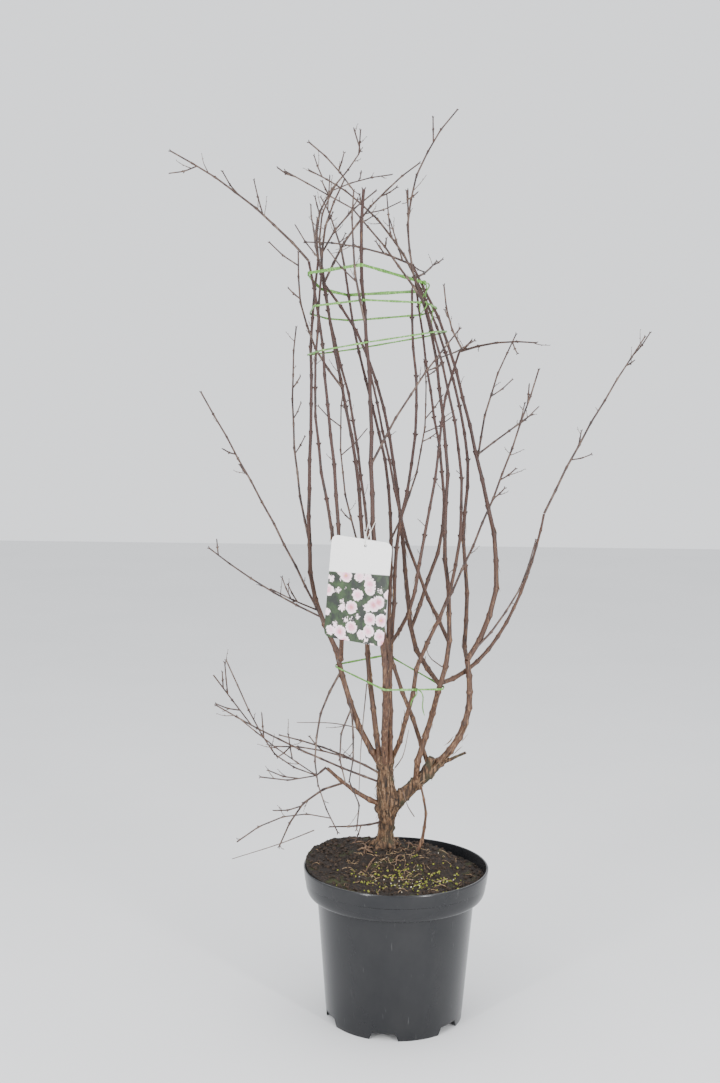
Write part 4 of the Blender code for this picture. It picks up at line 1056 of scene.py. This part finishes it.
def budPairs(limb, turn, size, skip=1):
    # Opposite buds at each knot, each pair across the last
    length, radius = budShape["length"], budShape["radius"]
    made = []
    for k in range(skip, len(limb.line)):
        along = (limb.line[k] - limb.line[k - 1]).normalized()
        side = sideways(along, turn + k * math.pi / 2)
        for sign in (1, -1):
            out = side * sign
            foot = limb.line[k] + out * limb.radii[k] * 0.6
            middle = limb.line[k] + out * (limb.radii[k] + 0.0006) + along * length * 0.45 * size
            tip = middle + (along * 0.9 + out * 0.35) * length * 0.55 * size
            made.append(([foot, middle, tip], (radius * size, radius * size * 0.95, 0.00012)))
    return made


# Shoots that the photograph shows and that are too fine for the solids
hairShape = {"step": 0.012, "foot": 0.0011, "tip": 0.0006}
hairShoots = (
    ((-0.052, 0.030, 0.553), (-0.060, 0.000, 0.460), (-0.063, -0.030, 0.378)),
    ((-0.004, 0.000, 0.419), (0.009, -0.010, 0.443), (0.017, -0.020, 0.488)),
    ((-0.135, -0.050, 0.327), (-0.190, -0.110, 0.322), (-0.258, -0.160, 0.314)),
    ((-0.060, 0.060, 0.470), (-0.110, 0.080, 0.474), (-0.170, 0.090, 0.472)),
    ((0.070, -0.006, 0.590), (0.050, -0.012, 0.606), (0.044, -0.016, 0.622)),
    ((0.030, 0.024, 0.330), (0.018, 0.012, 0.352), (0.008, 0.004, 0.384)),
)


def makeTwigs():
    twigs = allTwigs()
    leading = []
    buds = []
    for shoots, sides in twigs.values():
        for k, limb in enumerate(shoots + sides):
            leading.append(knotted(limb, *shootShape["knots"]))
            buds += budPairs(limb, k * 0.7, budShape["onShoots"])
    wood = curvePiece("leadShoots", leading, 1, twigBark)
    softShade(wood, 75)
    settlePiece(wood, "young_bark", *masses)
    fine = growFine(twigs)
    lines = [(limb.line, limb.radii) for limb in fine]
    for places in hairShoots:
        line = smoothLine([Vector(place) for place in places], hairShape["step"])
        lines.append((line, taper(len(line), hairShape["foot"], hairShape["tip"])))
    thin = curvePiece("thinTwigs", lines, 0, thinTwigBark)
    softShade(thin, 75)
    settlePiece(thin, "young_bark")
    for k, limb in enumerate(fine):
        buds += budPairs(limb, k * 0.9, budShape["onTwigs"], 2)[::2]
    for k, name in enumerate(stems):
        buds += budPairs(limbs[name], k * 0.8, budShape["onStems"], 4)
    made = curvePiece("budsAll", buds, 0, budScales)
    softShade(made, 75)
    settlePiece(made, "young_bark")
    print("twigs made:", len(leading), "leading,", len(lines), "thin,", len(buds), "buds")


makeTwigs()


# Peelings: stringy flakes of old bark that lift off the trunk, the arm and the stems' feet

# How many lie on each wood, between which shares of its length
peelShape = {"seed": 9, "trunk": (90, 0.15, 0.95), "arm": (46, 0.02, 0.60), "stems": (90, 0.06, 0.38),
             "lengths": (0.008, 0.030), "lift": 0.0045, "radius": 0.00055, "onStems": 0.8}


def peelStrand(maker, limb, low, high, lengthScale=1.0):
    # Lies on the skin at its foot, and stands off it at its free end
    place, along, radius = limb.atShare(maker.uniform(low, high))
    side = sideways(along, maker.uniform(0, 2 * math.pi))
    length = maker.uniform(*peelShape["lengths"]) * lengthScale
    lift = maker.uniform(0.2, 1.0) * peelShape["lift"]
    way = along * maker.choice((1, -1, -1))
    line = []
    for k in range(6):
        t = k / 5
        line.append(place + side * (radius * 1.02 + lift * t ** 2.4) + way * length * t)
    thick = peelShape["radius"] * maker.uniform(0.6, 1.5)
    return line, [thick * v for v in (0.5, 1.0, 1.1, 1.0, 0.8, 0.3)]


def makePeelings():
    maker = random.Random(peelShape["seed"])
    made = []
    for key, name in (("trunk", "trunk"), ("arm", "bough_right_low")):
        count, low, high = peelShape[key]
        made += [peelStrand(maker, limbs[name], low, high) for k in range(count)]
    count, low, high = peelShape["stems"]
    for k in range(count):
        limb = limbs[maker.choice(list(stems))]
        made.append(peelStrand(maker, limb, low, high, peelShape["onStems"]))
    obj = curvePiece("barkPeelings", made, 0, peelings)
    settlePiece(obj, "bark")


makePeelings()
print("peelings made")


# Pot: a finer turned pot stands in for its solid, in a scuffed plastic

potShape = {"height": 0.255, "rimRadius": 0.153, "wallTopRadius": 0.130, "footRadius": 0.113, "wall": 0.0022,
            "collarBottom": 0.208, "collarBottomRadius": 0.141, "turnSteps": 168,
            "notches": 6, "firstNotch": -9.5, "notchHalf": 13.0, "notchTop": 0.72,
            "notchDeep": 0.020, "notchHigh": 0.0166, "notchMiddle": 0.0043}


def insideRadius(height):
    # The pot's inner wall: it follows the outer wall, then steps out behind the collar
    top, foot, wall = potShape["wallTopRadius"], potShape["footRadius"], potShape["wall"]
    bottom = potShape["collarBottom"]
    if height <= bottom:
        return foot + (top - foot) * (height / bottom) - wall
    share = min(1.0, (height - bottom) / 0.006)
    collar = potShape["collarBottomRadius"] - wall
    narrow = top - wall
    rim = potShape["rimRadius"] - 0.003
    wide = collar + (rim - collar) * (height - bottom) / (potShape["height"] - bottom)
    return narrow + (wide - narrow) * share


def potProfile():
    # Down the outside, under the foot and up the inside, as the solid's
    outer = [(0.1512, 0.2550), (0.1524, 0.2548), (0.1529, 0.2542), (0.1530, 0.2520), (0.1507, 0.2328),
             (0.1500, 0.2322), (0.1495, 0.2318)]
    for k in range(1, 13):
        turn = math.radians(90 * k / 12)
        outer.append((0.141 + 0.0085 * math.cos(turn), 0.232 - 0.024 * math.sin(turn)))
    outer += [(0.1360, 0.2076), (0.1312, 0.2073), (0.1303, 0.2064), (0.1300, 0.2040), (0.1142, 0.0140),
              (0.1138, 0.0122), (0.1130, 0.0004), (0.1128, 0.0)]
    under = [(0.1108, 0.0), (0.1118, 0.013), (0.0600, 0.0131), (0.0, 0.013), (0.0, 0.0152)]
    inner = [(insideRadius(height), height) for height in (0.0152, 0.208, 0.214, 0.2546)]
    return outer + under + inner


def makePot():
    # The profile turned round the pot's axis, with the notches cut through its foot ring
    mesh = bpy.data.meshes.new("potWall")
    profile = potProfile()
    edges = [(k, k + 1) for k in range(len(profile) - 1)] + [(len(profile) - 1, 0)]
    mesh.from_pydata([(radius, 0.0, height) for radius, height in profile], edges, [])
    made = addObject("potWall", mesh)
    applyModifier(made, "SCREW", steps=potShape["turnSteps"], render_steps=potShape["turnSteps"],
                  use_merge_vertices=True, merge_threshold=0.0001)
    weldAndFace(made)
    foot = potShape["footRadius"]
    width = 2 * foot * math.sin(math.radians(potShape["notchHalf"]))
    for k in range(potShape["notches"]):
        bearing = math.radians(potShape["firstNotch"] + 360 * k / potShape["notches"])
        deselectAll()
        bpy.ops.mesh.primitive_cube_add(size=1.0)
        block = bpy.context.view_layer.objects.active
        for vert in block.data.vertices:  # narrower at its top
            narrow = potShape["notchTop"] if vert.co.z > 0 else 1.0
            vert.co = (vert.co.x * width * narrow, vert.co.y * potShape["notchDeep"],
                       vert.co.z * potShape["notchHigh"] + potShape["notchMiddle"])
        out = Vector((math.sin(bearing), -math.cos(bearing), 0.0))
        place = Matrix.Translation(out * (foot - potShape["wall"] / 2))
        block.data.transform(place @ Matrix.Rotation(bearing, 4, "Z"))
        applyModifier(made, "BOOLEAN", operation="DIFFERENCE", solver="EXACT", object=block)
        bpy.data.objects.remove(block)
    wear(made, potPlastic)
    softShade(made, 38)
    settlePiece(made, "pot_plastic", "pot")


makePot()
print("pot made")


# Soil: a fine crumbly sheet over the same heap as the solid's, with what lies on it

soilShape = {"rim": 0.249, "heap": 0.017, "sink": 0.011, "rough": 0.0022, "level": 0.268, "levelReach": 0.036,
             "suckerFoot": (0.034, 0.032), "cells": 190, "thick": 0.016, "brink": 0.2549,
             "crumble": ((150, 0.0016), (420, 0.0010), (900, 0.0005))}


def soilHeight(x, y):
    # Heaped at the left and sunk at the right, but level round the trunk and the sucker
    heap = soilShape["rim"] + soilShape["heap"] * max(0.0, y * 0.50 - x * 0.85) / potShape["rimRadius"]
    heap -= soilShape["sink"] * max(0.0, y * 0.65 + x * 0.75) / potShape["rimRadius"]
    foot = Vector((trunk[0][1], trunk[0][2]))
    sucker = Vector(soilShape["suckerFoot"])
    along = clamped((Vector((x, y)) - foot).dot(sucker - foot) / (sucker - foot).length_squared)
    away = (Vector((x, y)) - foot.lerp(sucker, along)).length
    rough = soilShape["rough"] * noise.noise(Vector((x, y, 0.3)) * 60)
    blend = clamped((away - soilShape["levelReach"]) / 0.055)
    blend = blend * blend * (3 - 2 * blend)
    return soilShape["level"] + (heap + rough - soilShape["level"]) * blend


def soilTop(x, y):
    # The heap with its crumbs: what lies on the soil stands on this
    height = soilHeight(x, y)
    for size, depth in soilShape["crumble"]:
        height += depth * noise.noise(Vector((x, y, 0.5)) * size)
    return height


def makeSoil():
    deselectAll()
    cells = soilShape["cells"]
    bpy.ops.mesh.primitive_grid_add(x_subdivisions=cells, y_subdivisions=cells, size=2.0)
    made = bpy.context.view_layer.objects.active
    made.name = "peatHeap"
    brink = soilShape["brink"]
    edge = insideRadius(0.250) - airGap
    for vert in made.data.vertices:  # the square grid made round
        u, v = vert.co.x, vert.co.y
        x, y = u * math.sqrt(1 - v * v / 2), v * math.sqrt(1 - u * u / 2)
        height = soilTop(x * edge, y * edge)
        reach = min(insideRadius(height), insideRadius(brink)) - airGap
        vert.co = (x * reach, y * reach, height)
    weldAndFace(made)
    applyModifier(made, "SOLIDIFY", thickness=soilShape["thick"], offset=-1.0)
    for vert in made.data.vertices:  # its edge keeps inside the pot's wall all the way down
        limit = (insideRadius(min(vert.co.z, brink)) - airGap) / max(0.001, math.hypot(vert.co.x, vert.co.y))
        if limit < 1.0:
            vert.co = (vert.co.x * limit, vert.co.y * limit, vert.co.z)
    wear(made, peat)
    softShade(made, 80)
    settlePiece(made, "peat", "soil")


# Each kind of litter: how many, their sizes or lengths, and a strand's radius
litter = {"crumbs": (700, (0.0014, 0.0042)), "grains": (60, (0.0007, 0.0014)),
          "moss": (240, (0.0008, 0.0024)), "straws": (150, (0.006, 0.024), 0.00042),
          "roots": (22, (0.016, 0.040), 0.0013), "sunk": 0.3, "shapes": 8, "seed": 21}


def spotOnSoil(maker):
    turn = maker.uniform(0, 2 * math.pi)
    away = math.sqrt(maker.uniform(0, 1)) * insideRadius(0.25) * 0.96
    return away * math.cos(turn), away * math.sin(turn)


def makeLumps(name, count, sizes, finish, maker, spot, squash):
    # A few small lumps, copied each with its own mesh, turned and sized
    pieces = []
    for k in range(count):
        x, y = spot(maker)
        size = maker.uniform(*sizes)
        if k < litter["shapes"]:
            deselectAll()
            bpy.ops.mesh.primitive_ico_sphere_add(subdivisions=1, radius=1.0)
            lump = bpy.context.view_layer.objects.active
            for vert in lump.data.vertices:
                vert.co *= 0.72 + 0.5 * maker.random()
        else:
            lump = addObject(name, pieces[k % litter["shapes"]].data.copy())
        lump.location = (x, y, soilTop(x, y) + size * (squash - litter["sunk"]))
        lump.rotation_euler = (maker.uniform(-0.6, 0.6), maker.uniform(-0.6, 0.6), maker.uniform(0, 6.28))
        lump.scale = (size * maker.uniform(0.7, 1.4), size, size * squash)
        pieces.append(lump)
    made = joinPieces(name, pieces)
    wear(made, finish)
    softShade(made, 40)
    settlePiece(made, "peat")


def makeStraws(name, count, lengths, radius, finish, maker, spot):
    lines = []
    while len(lines) < count:
        x, y = spot(maker)
        turn = maker.uniform(0, 2 * math.pi)
        length = maker.uniform(*lengths)
        points = []
        lift = maker.uniform(0.0, 0.0035)
        for k in range(7):
            points.append(Vector((x, y, soilTop(x, y) + radius * 0.8 + lift * math.sin(math.pi * (k / 6)))))
            turn += maker.uniform(-0.35, 0.35)
            x += math.cos(turn) * length / 6
            y += math.sin(turn) * length / 6
        if math.hypot(x, y) < insideRadius(0.25) * 0.97:
            size = radius * maker.uniform(0.6, 1.3)
            lines.append((points, [size * v for v in (0.5, 1, 1.1, 1, 1, 0.8, 0.4)]))
    settlePiece(curvePiece(name, lines, 0, finish), "peat")


def keptInside(x, y):
    share = min(1.0, insideRadius(0.25) * 0.95 / max(0.001, math.hypot(x, y)))
    return x * share, y * share


def frontMiddle(maker):
    return keptInside(maker.gauss(0.012, 0.048), maker.gauss(-0.062, 0.030))


def roundMiddle(maker):
    return keptInside(maker.gauss(-0.010, 0.050), maker.gauss(-0.020, 0.045))


def roundTrunk(maker):
    turn = maker.uniform(0, 2 * math.pi)
    away = maker.uniform(0.012, 0.050)
    return -0.018 + away * math.cos(turn), 0.050 + away * math.sin(turn)


def makeGround():
    maker = random.Random(litter["seed"])
    makeSoil()
    makeLumps("peatCrumbs", *litter["crumbs"], darkCrumb, maker, spotOnSoil, 0.7)
    makeLumps("feedGrains", *litter["grains"], whiteGrain, maker, frontMiddle, 0.9)
    makeLumps("mossTufts", *litter["moss"], mossGreen, maker, frontMiddle, 0.8)
    makeStraws("strawFibres", *litter["straws"], straw, maker, roundMiddle)
    makeStraws("rootStrands", *litter["roots"], rootSkin, maker, roundTrunk)


makeGround()
print("soil made")


# Ties: flat tape with a knot and loose ends

tapeShape = {"widths": {"tie_low": 0.0034, "tie_neck": 0.0026, "tie_upper": 0.0034, "tie_top": 0.0056},
             "knots": {"tie_low": (0.060, -0.075), "tie_upper": (0.012, -0.055), "tie_top": (0.052, -0.020)},
             "thick": 0.0004, "tails": (0.045, 0.02475), "step": 0.006}


def tapeBand(name):
    # A flat band on the tie's own line, puckered and twisted a little
    ring = tieLimbs[name].line[:-1]
    points = []
    for a, b in zip(ring, ring[1:] + ring[:1]):
        count = max(1, round((b - a).length / tapeShape["step"]))
        points += [a.lerp(b, k / count) for k in range(count)]
    curve = bpy.data.curves.new(name, "CURVE")
    curve.dimensions = "3D"
    curve.twist_mode = "Z_UP"
    curve.extrude = tapeShape["widths"][name] / 2
    curve.bevel_depth = tapeShape["thick"]
    spline = curve.splines.new("POLY")
    spline.points.add(len(points) - 1)
    spline.use_cyclic_u = True
    for k, (knot, place) in enumerate(zip(spline.points, points)):
        knot.co = (*place, 1.0)
        knot.radius = 1.0 - 0.22 * abs(math.sin(k * 0.37)) - 0.10 * abs(math.sin(k * 1.7))
        knot.tilt = 0.30 * math.sin(k * 0.21)
    made = meshOf(addObject(name + "Band", curve), tieTape)
    softShade(made, 60)
    return made


def makeTies():
    for name in ties:
        settlePiece(tapeBand(name), "green_tie", name)
    lines = []
    for name, aim in tapeShape["knots"].items():
        ring = tieLimbs[name].line
        near = min(ring, key=lambda place: (place.x - aim[0]) ** 2 + (place.y - aim[1]) ** 2)
        out = Vector((near.x, near.y, 0.0)).normalized()
        across = Vector((-out.y, out.x, 0.0))
        size = ties[name]["radius"]
        knot = []
        for k in range(15):  # a turn and a half of tape, wound across itself
            turn = 2 * math.pi * k / 9
            knot.append(near + out * size * (0.6 + 0.9 * math.cos(turn)) + across * (k - 7) * size * 0.20
                        + Vector((0, 0, size * 1.3 * math.sin(turn))))
        lines.append((knot, [size * 0.6] * len(knot)))
        for sign, length in zip((1, -1), tapeShape["tails"]):
            tail = [near + across * sign * size * 2]
            for k in range(1, 9):
                drop = Vector((0, 0, length * (k / 8) ** 1.3))
                tail.append(near + across * sign * (size * 2 + length * 0.35 * k / 8)
                            + out * (0.004 + 0.004 * math.sin(k * 0.7)) - drop)
            lines.append((tail, [size * 0.62] * 8 + [size * 0.3]))
    made = curvePiece("tieKnots", lines, 1, tieTape)
    softShade(made, 60)
    settlePiece(made, "green_tie")


makeTies()
print("ties made")


# Label: a printed card of the maker's own plain design, blossoms on a dark ground

labelLook = {"paleFrom": 0.757, "pale": (0.80, 0.79, 0.78), "cells": (50.0, 50.0), "petals": (330.0, 330.0),
             "wave": 0.34, "leaves": (90.0, 60.0), "leaf": ((0.006, 0.010, 0.006), (0.030, 0.065, 0.016)),
             "flower": ((0.60, 0.34, 0.12), (0.62, 0.20, 0.30), (0.78, 0.42, 0.52), (0.86, 0.70, 0.75))}
stringLook = {"dark": (0.55, 0.53, 0.48), "light": (0.86, 0.85, 0.81), "roughness": 0.8, "size": 900.0}


def makeLabelCard():
    made = newMaterial("printedCard", 0.32)
    spots = addNode(made, "ShaderNodeTexVoronoi", {"Vector": objectPlace(made, *labelLook["cells"]),
                                                   "Scale": 1.0, "Randomness": 0.85})
    petals = noisePattern(made, labelLook["petals"], 2.0)
    wavy = addNode(made, "ShaderNodeMath", {0: petals, 1: labelLook["wave"], 2: spots.outputs["Distance"]},
                   operation="MULTIPLY_ADD").outputs[0]
    flower = colourRamp(made, wavy, list(zip((0.22, 0.28, 0.42, 0.62), labelLook["flower"])))
    leaves = colourRamp(made, noisePattern(made, labelLook["leaves"]),
                        list(zip((0.42, 0.72), labelLook["leaf"])))
    picture = mixColours(made, shareRamp(made, wavy, 0.655, 0.680), flower, leaves)
    top = labelLook["paleFrom"]
    head = heightShare(made, top - 0.0006, top + 0.0006)
    feedShader(made, "Base Color", mixColours(made, head, picture, labelLook["pale"]))
    useBump(made, noisePattern(made, (60.0, 60.0), 2.0), 0.0004)
    return made


def dressNode(name, finish):
    # A solid that keeps its shape and takes a better finish
    mesh = cadNodes[name].data
    if not mesh.materials:
        mesh.materials.append(finish)
    for k in range(len(mesh.materials)):
        mesh.materials[k] = finish


dressNode("label", makeLabelCard())
dressNode("label_string", makeSpeckled("twistedWhiteString", **stringLook))
print("label dressed")


# Studio: a wide pale floor, soft light and the photograph's camera

studio = {"floor": 14.0, "air": 1.55, "airColour": (0.90, 0.92, 0.95, 1.0), "aim": (0.0, 0.0, 0.65),
          "paperDark": (0.71, 0.715, 0.72), "paperLight": (0.76, 0.76, 0.765), "stripHeight": 1.5}
# Each lamp: its place, its width and its power
lamps = {"keySoft": ((-1.6, -2.2, 2.6), 1.8, 42.0), "fillSoft": ((2.3, -1.6, 1.6), 1.6, 20.0),
         "topSoft": ((0.2, 0.6, 3.2), 2.2, 30.0), "leftStrip": ((-1.45, -2.05, 0.75), 0.11, 40.0),
         "rightStrip": ((1.35, -2.05, 0.75), 0.14, 54.0)}


def makeStudio():
    pale = newMaterial("palePaper", 0.9)
    feedShader(pale, "Base Color", colourRamp(pale, noisePattern(pale, (1.5, 1.5), 3.0),
                                              ((0.2, studio["paperDark"]), (0.8, studio["paperLight"]))))
    deselectAll()
    bpy.ops.mesh.primitive_plane_add(size=studio["floor"], location=(0.0, 0.0, 0.0))
    floor = bpy.context.view_layer.objects.active
    floor.name = "paperSweep"
    bpy.ops.object.mode_set(mode="EDIT")
    bpy.ops.mesh.select_all(action="SELECT")
    bpy.ops.mesh.subdivide(number_cuts=7)
    bpy.ops.object.mode_set(mode="OBJECT")
    floor.data.materials.append(pale)
    world = bpy.context.scene.world or bpy.data.worlds.new("studioAir")
    bpy.context.scene.world = world
    world.use_nodes = True
    air = world.node_tree.nodes["Background"]
    air.inputs["Color"].default_value = studio["airColour"]
    air.inputs["Strength"].default_value = studio["air"]
    for name, (place, size, power) in lamps.items():
        lamp = bpy.data.lights.new(name, "AREA")
        lamp.energy = power
        lamp.size = size
        if name.endswith("Strip"):  # tall and narrow: it draws an upright highlight on the pot
            lamp.shape = "RECTANGLE"
            lamp.size_y = studio["stripHeight"]
        obj = addObject(name, lamp)
        obj.location = place
        aim = Vector(studio["aim"]) - Vector(place)
        obj.rotation_euler = aim.to_track_quat("-Z", "Y").to_euler()


view = {"place": (-0.0661, -2.421, 1.060), "pitch": 6.29, "roll": 0.7, "lens": 50.0}


def makeCamera():
    lens = bpy.data.cameras.new("photoView")
    lens.lens = view["lens"]
    lens.sensor_width = 36.0
    lens.sensor_fit = "AUTO"
    lens.dof.use_dof = False
    pitch = math.radians(view["pitch"])
    roll = math.radians(view["roll"])
    right = Vector((1.0, 0.0, 0.0))
    ahead = Vector((0.0, math.cos(pitch), -math.sin(pitch)))
    up = Vector((0.0, math.sin(pitch), math.cos(pitch)))
    across = right * math.cos(roll) + up * math.sin(roll)
    rise = up * math.cos(roll) - right * math.sin(roll)
    obj = addObject("photoView", lens)
    turn = Matrix((across, rise, -ahead)).transposed().to_4x4()
    obj.matrix_world = Matrix.Translation(view["place"]) @ turn
    bpy.context.scene.camera = obj


makeStudio()
makeCamera()
deselectAll()
